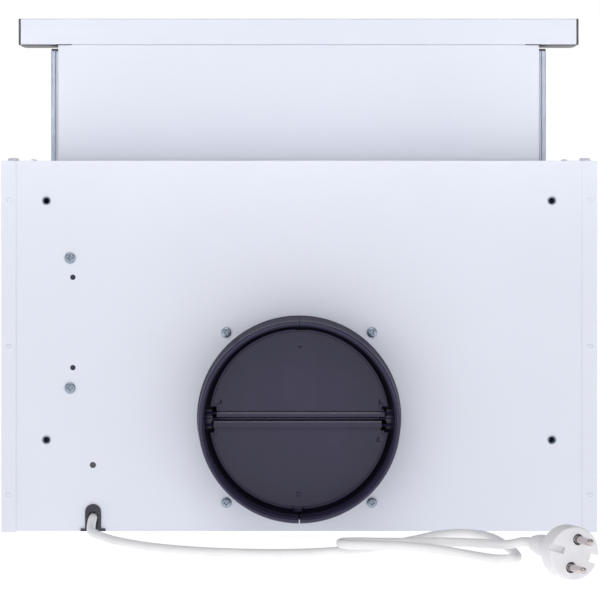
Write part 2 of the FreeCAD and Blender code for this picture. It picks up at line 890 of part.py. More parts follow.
def make_underside():
    """Underside panel with the openings for the filter, the lamp and the switches."""
    inside = HALF_WIDTH - S.sheet
    bottom = deep(S.body_height)
    panel = box("underside_plate", (-inside, inside), (bottom - S.sheet, bottom),
                (S.sheet, S.body_length))
    lip = box("underside_lip", (-S.hinge_ear_outer, S.hinge_ear_outer),
              (bottom - S.switch_depth, bottom), (S.body_length - S.sheet, S.body_length))
    pieces = [panel, lip]
    deep_cut = (bottom - S.sheet - S.overrun, bottom + S.overrun)
    cuts = [
        box("underside_filter_opening", (-S.opening_half_width, S.opening_half_width), deep_cut,
            (S.opening_low, S.opening_high)),
        rod("underside_lamp_opening", "y", -S.lamp_x, S.lamp_place, deep_cut[0], deep_cut[1],
            S.lamp_radius + S.fit_gap),
        box("underside_switch_opening", (S.panel_inner, S.panel_outer), deep_cut,
            (S.panel_low, S.panel_high)),
    ]
    hinge_y = bottom - S.filter_inset - S.filter_depth / 2
    hinge_z = S.opening_low + S.filter_gap + S.filter_hinge_inset
    for side, sign in SIDES.items():
        span = across(sign, S.hinge_ear_inner, S.hinge_ear_outer)
        pieces.append(box("underside_ear_" + side, span, (bottom - S.filter_depth, bottom - S.sheet),
                          (S.hinge_ear_low, S.hinge_ear_high)))
        cuts.append(rod("underside_bore_" + side, "x", hinge_y, hinge_z, span[0] - S.overrun,
                        span[1] + S.overrun, S.filter_pin_radius + S.pin_gap))
    node(cut("underside_frame", fuse("underside_blank", *pieces), *cuts), "underside_frame")


def make_rivets():
    """Painted rivets of the side flanges and of the front wall."""
    parts = []
    for side, sign in SIDES.items():
        for x, z in rivet_places(sign):
            head = rod("rivet_head", "y", x, z, deep(-S.sheet - S.rivet_head), deep(-S.sheet),
                       S.rivet_radius)
            shank = rod("rivet_shank", "y", x, z, deep(-S.sheet - S.rivet_head),
                        deep(-S.sheet + S.rivet_length), S.rivet_shank)
            parts.append(fuse("rivet", head, shank))
        x = S.front_rivet_place * sign
        y = deep(S.front_rivet_drop)
        front = S.body_length
        head = rod("rivet_head", "z", x, y, front, front + S.front_rivet_head, S.rivet_radius)
        shank = rod("rivet_shank", "z", x, y, front - S.rivet_length, front + S.front_rivet_head,
                    S.rivet_shank)
        parts.append(fuse("rivet", head, shank))
    node(group("casing_rivets", parts), "casing_rivets")


def screw(name, axis, first, second, seat, way, sizes):
    """Screw with a flat head on its seat; way is the sense of its shank along the axis."""
    head_radius, head_height, shank_radius, length = sizes
    if way > 0:
        head_span = (seat - head_height, seat)
        shank_span = (seat - head_height, seat + length)
    else:
        head_span = (seat, seat + head_height)
        shank_span = (seat - length, seat + head_height)
    head = rod(name + "_head", axis, first, second, head_span[0], head_span[1], head_radius)
    shank = rod(name + "_shank", axis, first, second, shank_span[0], shank_span[1], shank_radius)
    return fuse(name, head, shank)


def make_plate_fasteners():
    """Screws and rivet nuts of the plate and the front wall."""
    sizes = (S.front_screw_radius, S.front_screw_head, S.screw_shank_radius, S.rivet_length)
    parts = []
    for sign in SIDES.values():
        parts.append(screw("front_screw", "z", S.front_screw_place * sign, deep(S.front_screw_drop),
                           S.body_length, -1, sizes))
    node(group("front_screws", parts), "front_screws")

    parts = []
    sizes = (S.box_screw_radius, S.screw_head_height, S.screw_shank_radius, S.screw_length)
    for x, z in box_screw_places():
        parts.append(screw("box_screw", "y", x, z, deep(ZERO), 1, sizes))
    node(group("box_screws", parts), "box_screws")

    parts = []
    sizes = (S.screw_head_radius, S.screw_head_height, S.screw_shank_radius, S.screw_length)
    for x, z in collar_screw_places():
        parts.append(screw("collar_screw", "y", x, z, deep(ZERO), 1, sizes))
    node(group("collar_screws", parts), "collar_screws")

    parts = []
    for x, z in nut_places():
        head = rod("nut_head", "y", x, z, deep(-S.nut_head_height), deep(ZERO), S.nut_head_radius)
        sleeve = rod("nut_sleeve", "y", x, z, deep(-S.nut_head_height), deep(S.nut_length),
                     S.nut_body_radius)
        bulge = rod("nut_bulge", "y", x, z, deep(S.sheet), deep(S.sheet + S.nut_bulge_length),
                    S.nut_bulge_radius)
        bore = rod("nut_bore", "y", x, z, deep(-S.nut_head_height - S.overrun),
                   deep(S.nut_length + S.overrun), S.nut_bore_radius)
        parts.append(cut("rivet_nut", fuse("rivet_nut_blank", head, sleeve, bulge), bore))
    node(group("mounting_rivet_nuts", parts), "mounting_rivet_nuts")


def make_grommet():
    """Rubber edging in the notch: a lip on each face of the sheet and a core between them."""
    x = -S.notch_x
    foot = S.grommet_foot
    inner_shoulder = S.grommet_inner_top - S.grommet_inner_half_width
    outer_shoulder = S.grommet_top - S.grommet_half_width
    inner = S.grommet_inner_half_width
    outer = S.grommet_half_width
    feet = S.grommet_foot_half_width
    lip = [
        (x - feet, foot),
        (x - inner, foot),
        (x - inner, inner_shoulder, Bend(x, inner_shoulder, inner, -1)),
        (x + inner, inner_shoulder),
        (x + inner, foot),
        (x + feet, foot),
        (x + feet, S.grommet_foot_top),
        (x + outer, S.grommet_foot_top),
        (x + outer, outer_shoulder, Bend(x, outer_shoulder, outer, 1)),
        (x - outer, outer_shoulder),
        (x - outer, S.grommet_foot_top),
        (x - feet, S.grommet_foot_top),
    ]
    core_half = S.notch_half_width - S.pin_gap
    core_shoulder = S.notch_top - S.notch_half_width
    core = [
        (x - core_half, foot),
        (x - inner, foot),
        (x - inner, inner_shoulder, Bend(x, inner_shoulder, inner, -1)),
        (x + inner, inner_shoulder),
        (x + inner, foot),
        (x + core_half, foot),
        (x + core_half, core_shoulder, Bend(x, core_shoulder, core_half, 1)),
        (x - core_half, core_shoulder),
    ]
    part = body("cable_grommet")
    pad(part, "XZ_Plane", deep(-S.grommet_lip), deep(ZERO), [lip])
    pad(part, "XZ_Plane", deep(ZERO), deep(S.sheet), [core])
    # the inner lip stands on the rear wall's inner face
    inner_lip = [
        (x - core_half, foot),
        (x - inner, foot),
        (x - inner, inner_shoulder, Bend(x, inner_shoulder, inner, -1)),
        (x + inner, inner_shoulder),
        (x + inner, foot),
        (x + core_half, foot),
        (x + core_half, S.grommet_foot_top),
        (x + outer, S.grommet_foot_top),
        (x + outer, outer_shoulder, Bend(x, outer_shoulder, outer, 1)),
        (x - outer, outer_shoulder),
        (x - outer, S.grommet_foot_top),
        (x - core_half, S.grommet_foot_top),
    ]
    pad(part, "XZ_Plane", deep(S.sheet), deep(S.sheet + S.grommet_lip), [inner_lip])
    node(part, "cable_grommet")


# Blower housing
def volute(wall):
    """Outline of the blower housing, drawn in by a wall."""
    rear = S.collar_place - S.collar_base_radius + wall
    tongue = S.collar_place + S.collar_base_radius - wall
    top = deep(S.sheet + wall)
    bottom = deep(S.fan_drop + S.volute_radius - wall)
    front_radius = S.volute_radius - wall
    rear_radius = S.rear_bend_radius - wall
    centre = (deep(S.fan_drop), S.fan_place)
    gap = tongue - S.fan_place
    meeting = centre[0] - root(front_radius * front_radius - gap * gap)
    bend_centre = (bottom - rear_radius, rear + rear_radius)
    return [
        (top, rear),
        (top, tongue),
        (meeting, tongue, Bend(centre[0], centre[1], front_radius, -1)),
        (bottom, S.fan_place),
        (bottom, bend_centre[1], Bend(bend_centre[0], bend_centre[1], rear_radius, -1)),
        (bend_centre[0], rear),
    ]


def ear_places():
    """Spans in Y and Z of the three ears that the halves are screwed together by."""
    rear = S.collar_place - S.collar_base_radius
    front = S.fan_place + S.volute_radius
    tongue = S.collar_place + S.collar_base_radius
    half = S.ear_height / 2
    fan = deep(S.fan_drop)
    yield (fan - half, fan + half), (front - S.scroll_wall, front + S.ear_reach)
    low = deep(S.tongue_ear_drop)
    yield (low - half, low + half), (tongue - S.scroll_wall, tongue + S.ear_reach)
    back = deep(S.rear_ear_drop)
    yield (back - half, back + half), (rear - S.rear_ear_reach, rear + S.scroll_wall)


def ear_holes():
    """Centres in Y and Z of the ears' screw holes."""
    rear = S.collar_place - S.collar_base_radius
    yield deep(S.fan_drop), S.fan_place + S.volute_radius + S.ear_reach / 2
    yield deep(S.tongue_ear_drop), S.collar_place + S.collar_base_radius + S.ear_reach / 2
    yield deep(S.rear_ear_drop), rear - S.rear_ear_reach / 2


def make_scroll_half(side, sign):
    """One half of the blower housing with its half of the duct collar."""
    name = "scroll_half_" + side
    part = body(name)
    outer_x = across(sign, ZERO, S.scroll_half_width)
    pad(part, "YZ_Plane", outer_x[0], outer_x[1], [volute(ZERO)])
    flange_x = across(sign, ZERO, S.ear_thickness)
    for y, z in ear_places():
        pad(part, "YZ_Plane", flange_x[0], flange_x[1], [rectangle(y[0], z[0], y[1], z[1])])
    # the collar, turned half a round about its own axis
    rim = deep(-S.collar_height)
    foot = deep(S.sheet + S.scroll_wall)
    neck = rim + S.collar_spigot
    profile = [
        (rim, S.collar_rim_radius - S.collar_wall),
        (neck, S.collar_rim_radius - S.collar_wall),
        (foot, S.collar_base_radius - S.collar_wall),
        (foot, S.collar_base_radius),
        (deep(ZERO), S.collar_base_radius),
        (neck, S.collar_rim_radius),
        (rim, S.collar_rim_radius),
    ]
    drawing = sketch(part, "YZ_Plane", ZERO, [profile], [])
    bind(drawing, "AttachmentOffset.Base.y", S.collar_place)
    turn = part.newObject("PartDesign::Revolution", name + "_collar")
    turn.Profile = drawing
    turn.ReferenceAxis = (drawing, ["H_Axis"])
    turn.Angle = 180
    turn.Reversed = sign < 0
    part.Tip = turn
    inner_x = across(sign, ZERO - S.overrun, S.scroll_half_width - S.scroll_wall)
    pocket(part, "YZ_Plane", inner_x[0], inner_x[1], [volute(S.scroll_wall)])
    wall_x = across(sign, S.scroll_half_width - S.scroll_wall - S.overrun,
                    S.scroll_half_width + S.overrun)
    pocket(part, "YZ_Plane", wall_x[0], wall_x[1],
           circles=[(deep(S.fan_drop), S.fan_place, S.inlet_radius)])
    pocket(part, "XZ_Plane", deep(ZERO), foot + S.overrun,
           circles=[(ZERO, S.collar_place, S.collar_base_radius - S.collar_wall)])
    own = [(x, z) for x, z in collar_screw_places() if x.value * sign > 0]
    pad(part, "XZ_Plane", deep(S.sheet), deep(S.sheet + S.boss_length),
        circles=[(x, z, S.boss_radius) for x, z in own])
    pocket(part, "XZ_Plane", deep(ZERO), deep(S.sheet + S.boss_length + S.overrun),
           circles=[(x, z, S.screw_shank_radius) for x, z in own])
    hole_x = across(sign, ZERO - S.overrun, S.ear_thickness + S.overrun)
    pocket(part, "YZ_Plane", hole_x[0], hole_x[1],
           circles=[(y, z, S.ear_screw_radius + S.pin_gap) for y, z in ear_holes()])
    node(part, name)


def make_scroll_screws():
    """Three screws that hold the halves together."""
    sizes = (S.ear_head_radius, S.ear_head_height, S.ear_screw_radius, S.ear_thickness * 2)
    parts = []
    for y, z in ear_holes():
        parts.append(screw("scroll_screw", "x", y, z, -S.ear_thickness, 1, sizes))
    node(group("scroll_screws", parts), "scroll_screws")


# Flaps
def make_flap(name, way):
    """Half-moon flap with its hinge barrel and its two pins; way is 1 above and -1 below."""
    hinge_y = deep(-S.flap_depth)
    hinge_z = S.collar_place + S.flap_hinge_offset * way
    notch = S.collar_place + S.flap_notch_top * way
    reach = root(S.flap_radius * S.flap_radius - S.flap_notch_top * S.flap_notch_top)
    wide = S.flap_half_width
    # the upper flap leans in and the lower one out, so that each stays shut by its own weight
    middle = hinge_y + S.flap_shift * way
    outline = [
        (-wide, hinge_z),
        (wide, hinge_z),
        (wide, notch),
        (reach, notch, Bend(ZERO, S.collar_place, S.flap_radius, way)),
        (-reach, notch),
        (-wide, notch),
    ]
    part = body(name)
    pad(part, "XZ_Plane", middle - S.flap_thickness / 2, middle + S.flap_thickness / 2, [outline])
    pad(part, "YZ_Plane", -wide, wide, circles=[(hinge_y, hinge_z, S.flap_barrel_radius)])
    pad(part, "YZ_Plane", -S.flap_pin_reach, S.flap_pin_reach,
        circles=[(hinge_y, hinge_z, S.flap_pin_radius)])
    node(part, name)


def make_hinge_bar():
    """Bar across the collar, with a pivot block at each end for both flaps."""
    hinge_y = deep(-S.flap_depth)
    centre = S.collar_place
    depth = (hinge_y - S.pivot_block_half_depth, hinge_y + S.pivot_block_half_depth)
    bar = box("hinge_bar_middle", (-S.pivot_block_inner, S.pivot_block_inner), depth,
              (centre - S.centre_bar_half_height, centre + S.centre_bar_half_height))
    parts = [bar]
    bores = []
    for side, sign in SIDES.items():
        span = across(sign, S.pivot_block_inner, S.pivot_block_outer)
        parts.append(box("hinge_block_" + side, span, depth, (centre - S.pivot_block_half_height,
                                                              centre + S.pivot_block_half_height)))
        for way in (-1, 1):
            bores.append(rod("hinge_bore", "x", hinge_y, centre + S.flap_hinge_offset * way,
                             span[0] - S.overrun, span[1] + S.overrun,
                             S.flap_pin_radius + S.pin_gap))
    node(cut("flap_hinge_bar", fuse("hinge_bar_blank", *parts), *bores), "flap_hinge_bar")


# Motor and impeller, all round one axis along X
def make_motor():
    """Motor in its can, with the bracket that holds it to the blower housing."""
    axis = (deep(S.fan_drop), S.fan_place)
    inside = S.can_radius - S.can_wall
    shell = rod("can_shell", "x", *axis, S.can_start, S.can_end, S.can_radius)
    hollow = rod("can_hollow", "x", *axis, S.can_start + S.can_wall, S.can_end - S.can_wall, inside)
    bore = rod("can_bore", "x", *axis, S.can_start - S.overrun, S.can_end + S.overrun, S.bush_radius)
    node(cut("motor_can", shell, hollow, bore), "motor_can")

    disc = rod("bracket_disc", "x", *axis, S.can_end, S.can_end + S.bracket_thickness,
               S.bracket_disc_radius)
    parts = [disc]
    arm_end = S.scroll_half_width - S.scroll_wall
    for turn in (90, 210, 330):
        rotation = FreeCAD.Rotation(FreeCAD.Vector(1, 0, 0), turn)
        half = S.bracket_arm_width / 2
        arm = box("bracket_arm_bar", (S.can_end, S.can_end + S.bracket_thickness), (-half, half),
                  (ZERO, S.bracket_arm_reach))
        post = box("bracket_arm_post", (S.can_end, arm_end), (-half, half),
                   (S.bracket_arm_reach - S.bracket_post, S.bracket_arm_reach))
        whole = fuse("bracket_arm", arm, post)
        put(whole, ZERO, *axis, rotation)
        parts.append(whole)
    node(fuse("motor_bracket", *parts), "motor_bracket")

    node(ring("motor_stator", "x", *axis, S.stator_start, S.stator_end, inside, S.stator_bore),
         "motor_stator")
    coils = [
        ring("winding_left", "x", *axis, S.stator_start - S.winding_length, S.stator_start,
             S.winding_outer, S.winding_inner),
        ring("winding_right", "x", *axis, S.stator_end, S.stator_end + S.winding_length,
             S.winding_outer, S.winding_inner),
    ]
    node(group("motor_windings", coils), "motor_windings")
    bore_radius = S.shaft_radius + S.pin_gap
    bushes = [
        ring("bush_left", "x", *axis, S.can_start, S.can_start + S.bush_length, S.bush_radius,
             bore_radius),
        ring("bush_right", "x", *axis, S.can_end - S.bush_length, S.can_end, S.bush_radius,
             bore_radius),
    ]
    node(group("motor_bushes", bushes), "motor_bushes")
    node(rod("motor_shaft", "x", *axis, -S.shaft_start, S.shaft_end, S.shaft_radius), "motor_shaft")
    node(ring("motor_rotor", "x", *axis, S.rotor_start, S.rotor_end, S.rotor_radius,
              S.shaft_radius), "motor_rotor")


def make_impeller():
    """Double-inlet impeller: a disc with a boss, blades on both sides and a ring at each end."""
    part = body("impeller")
    half = S.impeller_half_length
    pad(part, "YZ_Plane", -S.impeller_disc, S.impeller_disc,
        circles=[(ZERO, ZERO, S.impeller_radius)])
    pad(part, "YZ_Plane", -S.impeller_boss_start, S.impeller_boss_end,
        circles=[(ZERO, ZERO, S.impeller_boss_radius)])
    thick = S.blade_thickness / 2
    blade = pad(part, "YZ_Plane", -half, half,
                [rectangle(-thick, S.impeller_inner_radius, thick,
                           S.impeller_radius - S.fit_gap)])
    pattern = part.newObject("PartDesign::PolarPattern", "impeller_blades")
    pattern.Originals = [blade]
    axis = [item for item in part.Origin.OriginFeatures if item.Role == "X_Axis"][0]
    pattern.Axis = (axis, [""])
    pattern.Angle = 360
    bind(pattern, "Occurrences", S.blade_count)
    part.Tip = pattern
    for start, end in ((-half, -half + S.impeller_ring_width), (half - S.impeller_ring_width, half)):
        pad(part, "YZ_Plane", start, end,
            circles=[(ZERO, ZERO, S.impeller_radius), (ZERO, ZERO, S.impeller_ring_inner)])
    pocket(part, "YZ_Plane", -S.impeller_boss_start - S.overrun, S.impeller_boss_end + S.overrun,
           circles=[(ZERO, ZERO, S.shaft_radius)])
    put(part, ZERO, deep(S.fan_drop), S.fan_place)
    node(part, "impeller")


# Electrical parts on the left, under the plate
def make_terminal_box():
    """Open plastic box under the plate, its cover, and what it holds."""
    outer = (-S.box_outer, -S.box_inner)
    inner = (-S.box_outer + S.box_wall, -S.box_inner - S.box_wall)
    top = deep(S.sheet)
    shell = box("terminal_shell", outer, (top, deep(S.box_depth)), (S.box_low, S.box_high))
    hollow = box("terminal_hollow", inner, (top + S.box_wall, deep(S.box_depth + S.overrun)),
                 (S.box_low + S.box_wall, S.box_high - S.box_wall))
    bosses = []
    bores = []
    for x, z in box_screw_places():
        bosses.append(rod("box_boss", "y", x, z, top, top + S.box_boss_length, S.box_boss_radius))
        bores.append(rod("box_bore", "y", x, z, top - S.overrun, top + S.box_boss_length + S.overrun,
                         S.screw_shank_radius))
    entry = rod("box_entry", "z", -S.clamp_hole_x, deep(S.inner_cord_drop), S.box_low - S.overrun,
                S.box_low + S.box_wall + S.overrun, S.cord_radius + S.running_gap)
    shell_open = cut("terminal_open", shell, hollow)
    blank = fuse("terminal_blank", shell_open, *bosses)
    node(cut("terminal_box", blank, entry, *bores), "terminal_box")

    lid = box("terminal_lid", outer, (deep(S.box_depth), deep(S.box_depth + S.cover_thickness)),
              (S.box_low, S.box_high))
    node(lid, "terminal_box_cover")
    seat = top + S.box_wall
    node(rod("run_capacitor", "z", -S.capacitor_x, seat + S.capacitor_radius, S.capacitor_low,
             S.capacitor_high, S.capacitor_radius), "run_capacitor")
    node(box("terminal_block", (-S.terminal_outer, -S.terminal_inner),
             (seat, seat + S.terminal_depth), (S.terminal_low, S.terminal_high)), "terminal_block")
    clamp = box("clamp_block", (-S.clamp_hole_x - S.clamp_half_width, -S.clamp_hole_x + S.clamp_half_width),
                (top, top + S.clamp_depth),
                (S.clamp_hole_place - S.clamp_half_length, S.clamp_hole_place + S.clamp_half_length))
    groove = rod("clamp_groove", "z", -S.clamp_hole_x, deep(S.inner_cord_drop),
                 S.clamp_hole_place - S.clamp_half_length - S.overrun,
                 S.clamp_hole_place + S.clamp_half_length + S.overrun, S.cord_radius + S.running_gap)
    node(cut("cable_clamp", clamp, groove), "cable_clamp")


# Underside pieces
def make_filter():
    """Hinged grease filter: its frame with hinge pins, its mesh and its sliding latch."""
    bottom = deep(S.body_height)
    half = S.opening_half_width - S.filter_gap
    low = S.opening_low + S.filter_gap
    high = S.opening_high - S.filter_gap
    depth = (bottom - S.filter_inset - S.filter_depth, bottom - S.filter_inset)
    middle = (depth[0] + depth[1]) / 2
    shell = box("filter_shell", (-half, half), depth, (low, high))
    window = box("filter_window", (-half + S.filter_rim, half - S.filter_rim),
                 (depth[0] - S.overrun, depth[1] + S.overrun),
                 (low + S.filter_rim, high - S.filter_rim))
    mesh_half = S.mesh_thickness / 2
    mesh_x = half - S.mesh_groove
    mesh_z = (low + S.mesh_groove, high - S.mesh_groove)
    groove = box("filter_groove", (-mesh_x - S.fit_gap, mesh_x + S.fit_gap),
                 (middle - mesh_half - S.fit_gap, middle + mesh_half + S.fit_gap),
                 (mesh_z[0] - S.fit_gap, mesh_z[1] + S.fit_gap))
    latch_z = high - S.latch_length
    latch_y = (depth[1] - S.latch_thickness - S.latch_grip_height, depth[1] - S.latch_grip_height)
    slot = box("filter_latch_slot",
               (-S.latch_half_width - S.fit_gap, S.latch_half_width + S.fit_gap),
               (latch_y[0] - S.fit_gap, depth[1] + S.overrun),
               (latch_z - S.fit_gap, high + S.overrun))
    frame = cut("filter_ring", shell, window, groove, slot)
    hinge_y = middle
    hinge_z = low + S.filter_hinge_inset
    pins = []
    for side, sign in SIDES.items():
        span = across(sign, half, S.filter_pin_reach)
        pins.append(rod("filter_pin_" + side, "x", hinge_y, hinge_z, span[0], span[1],
                        S.filter_pin_radius))
    node(fuse("filter_frame", frame, *pins), "filter_frame")

    plate = box("filter_plate", (-mesh_x, mesh_x), (middle - mesh_half, middle + mesh_half), mesh_z)
    slots = mesh_slots("filter_slot", (-half + S.filter_rim, half - S.filter_rim),
                       (low + S.filter_rim, high - S.filter_rim),
                       (middle - mesh_half, middle + mesh_half))
    node(cut("filter_mesh", plate, *slots), "filter_mesh")

    slider = box("latch_slider", (-S.latch_half_width, S.latch_half_width), latch_y, (latch_z, high))
    grip_z = (latch_z + S.latch_grip_length, latch_z + S.latch_grip_length * 2)
    grip = box("latch_grip", (-S.latch_half_width / 2, S.latch_half_width / 2),
               (latch_y[1], latch_y[1] + S.latch_grip_height), grip_z)
    node(fuse("filter_latch", slider, grip), "filter_latch")


def mesh_slots(name, x, z, y):
    """Slots in rows and columns, as many as fit between the given places."""
    pitch_x = S.mesh_slot_length + S.mesh_bar
    pitch_z = S.mesh_slot_height + S.mesh_bar
    columns = int((x[1].value - x[0].value - S.mesh_bar.value) / pitch_x.value)
    rows = int((z[1].value - z[0].value - S.mesh_bar.value) / pitch_z.value)
    first_x = (x[0] + x[1] - pitch_x * columns + S.mesh_bar) / 2
    first_z = (z[0] + z[1] - pitch_z * rows + S.mesh_bar) / 2
    slots = []
    for column in range(columns):
        for row in range(rows):
            left = first_x + pitch_x * column
            low = first_z + pitch_z * row
            slots.append(box(name, (left, left + S.mesh_slot_length),
                             (y[0] - S.overrun, y[1] + S.overrun), (low, low + S.mesh_slot_height)))
    return slots


def make_lamp():
    """Round lamp in the underside: a cup with its glass."""
    bottom = deep(S.body_height)
    top = bottom - S.lamp_depth
    place = (-S.lamp_x, S.lamp_place)
    cup = rod("lamp_cup", "y", *place, top, bottom, S.lamp_radius)
    seat = rod("lamp_seat", "y", *place, bottom - S.lens_thickness, bottom + S.overrun, S.lens_radius)
    hollow = rod("lamp_hollow", "y", *place, top + S.lens_thickness, bottom + S.overrun,
                 S.lens_radius - S.lens_thickness)
    node(cut("lamp_housing", cup, seat, hollow), "lamp_housing")
    node(rod("lamp_lens", "y", *place, bottom - S.lens_thickness, bottom, S.lens_radius), "lamp_lens")


def make_controls():
    """Switch panel with two tracks, and the two sliding knobs."""
    bottom = deep(S.body_height)
    floor = bottom - S.switch_recess
    middle = (S.panel_low + S.panel_high) / 2
    half_track = S.knob_track_width / 2
    plate = box("switch_plate", (S.panel_inner + S.fit_gap, S.panel_outer - S.fit_gap),
                (bottom - S.switch_depth, bottom), (S.panel_low + S.fit_gap, S.panel_high - S.fit_gap))
    tracks = []
    for start, length in ((S.fan_track_start, S.fan_track_length),
                          (S.light_track_start, S.light_track_length)):
        tracks.append(box("switch_track", (start, start + length), (floor, bottom + S.overrun),
                          (middle - half_track, middle + half_track)))
    node(cut("control_panel", plate, *tracks), "control_panel")
    half_knob = S.knob_width / 2
    for name, start in (("fan_switch_knob", S.fan_track_start),
                        ("light_switch_knob", S.light_track_start)):
        left = start + S.running_gap
        node(box(name, (left, left + S.knob_length),
                 (floor + S.fit_gap, floor + S.fit_gap + S.knob_height),
                 (middle - half_knob, middle + half_knob)), name)


# Ball slides
def slide_screw_places():
    """Places in Z of the screws of one slide."""
    yield S.slide_low + S.slide_screw_inset
    yield S.slide_low + S.slide_length - S.slide_screw_inset


def make_slide(side, sign):
    """One ball slide: the fixed rail on its bracket, the drawer's rail and the cage."""
    top = deep(S.slide_top)
    bottom = top + S.slide_height
    steel = S.slide_steel
    middle = (top + bottom) / 2
    long = (S.slide_low, S.slide_low + S.slide_length)
    race = S.ball_radius * 2 + S.ball_gap * 2

    def mirrored(points):
        return [(x * sign, y) for x, y in points]

    outer = mirrored([
        (S.slide_outer_face, top),
        (S.slide_outer_face, bottom),
        (S.slide_flange_end, bottom),
        (S.slide_flange_end, bottom - steel),
        (S.slide_outer_face - steel, bottom - steel),
        (S.slide_outer_face - steel, top + steel),
        (S.slide_flange_end, top + steel),
        (S.slide_flange_end, top),
    ])
    name = "slide_outer_" + side
    part = body(name)
    pad(part, "XY_Plane", *long, [outer])
    hole_x = across(sign, S.slide_outer_face - steel - S.overrun, S.slide_outer_face + S.overrun)
    holes = [(middle, z, S.screw_shank_radius + S.pin_gap) for z in slide_screw_places()]
    pocket(part, "YZ_Plane", hole_x[0], hole_x[1], circles=holes)
    node(part, name)

    inner_top = top + steel + race
    inner_bottom = bottom - steel - race
    inner = mirrored([
        (S.slide_inner_face, inner_top),
        (S.inner_flange_end, inner_top),
        (S.inner_flange_end, inner_top + steel),
        (S.slide_inner_face + steel, inner_top + steel),
        (S.slide_inner_face + steel, inner_bottom - steel),
        (S.inner_flange_end, inner_bottom - steel),
        (S.inner_flange_end, inner_bottom),
        (S.slide_inner_face, inner_bottom),
    ])
    name = "slide_inner_" + side
    part = body(name)
    pad(part, "XY_Plane", long[0] + S.drawer_travel, long[1] + S.drawer_travel, [inner])
    node(part, name)

    name = "ball_cage_" + side
    thin = S.cage_steel / 2
    row_top = top + steel + race / 2
    row_bottom = bottom - steel - race / 2
    cage = mirrored([
        (S.cage_end, row_top - thin),
        (S.cage_end, row_bottom + thin),
        (S.cage_start, row_bottom + thin),
        (S.cage_start, row_bottom - thin),
        (S.cage_end - S.cage_steel, row_bottom - thin),
        (S.cage_end - S.cage_steel, row_top + thin),
        (S.cage_start, row_top + thin),
        (S.cage_start, row_top - thin),
    ])
    part = body(name)
    cage_span = (S.cage_low, S.cage_low + S.cage_length)
    pad(part, "XY_Plane", *cage_span, [cage])
    holes = [(S.ball_x * sign, z, S.ball_radius + S.ball_gap) for z in ball_places()]
    pocket(part, "XZ_Plane", row_top - S.overrun, row_bottom + S.overrun, circles=holes)
    node(part, name)

    bracket_top = deep(S.slide_bracket_top)
    bracket_bottom = deep(S.slide_bracket_bottom)
    name = "slide_bracket_" + side
    wall = HALF_WIDTH - S.sheet
    profile = mirrored([
        (S.slide_outer_face, bracket_top),
        (wall, bracket_top),
        (wall, bracket_top + steel),
        (S.slide_outer_face + steel, bracket_top + steel),
        (S.slide_outer_face + steel, bracket_bottom - steel),
        (wall, bracket_bottom - steel),
        (wall, bracket_bottom),
        (S.slide_outer_face, bracket_bottom),
    ])
    part = body(name)
    pad(part, "XY_Plane", *long, [profile])
    hole_x = across(sign, S.slide_outer_face - S.overrun, S.slide_outer_face + steel + S.overrun)
    holes = [(middle, z, S.screw_shank_radius + S.pin_gap) for z in slide_screw_places()]
    pocket(part, "YZ_Plane", hole_x[0], hole_x[1], circles=holes)
    node(part, name)


def ball_places():
    """Places in Z of one row of balls, centred in the cage."""
    centre = S.cage_low + S.cage_length / 2
    count = int(S.ball_count.value)
    for index in range(count):
        yield centre + S.ball_pitch * (index - (count - 1) / 2)


def make_slide_balls():
    """Two rows of balls on each side."""
    top = deep(S.slide_top)
    bottom = top + S.slide_height
    seat = S.slide_steel + S.ball_radius + S.ball_gap
    balls = []
    for sign in SIDES.values():
        for y in (top + seat, bottom - seat):
            for z in ball_places():
                ball = doc.addObject("Part::Sphere", "ball")
                bind(ball, "Radius", S.ball_radius)
                put(ball, S.ball_x * sign, y, z)
                balls.append(ball)
    node(group("slide_balls", balls), "slide_balls")


def make_slide_screws():
    """Screws that hold the fixed rails to their brackets."""
    middle = deep(S.slide_top + S.slide_height / 2)
    sizes = (S.slide_head_radius, S.slide_head_height, S.screw_shank_radius,
             S.slide_steel * 3)
    parts = []
    for sign in SIDES.values():
        seat = (S.slide_outer_face - S.slide_steel) * sign
        for z in slide_screw_places():
            parts.append(screw("slide_screw", "x", middle, z, seat, sign, sizes))
    node(group("slide_screws", parts), "slide_screws")


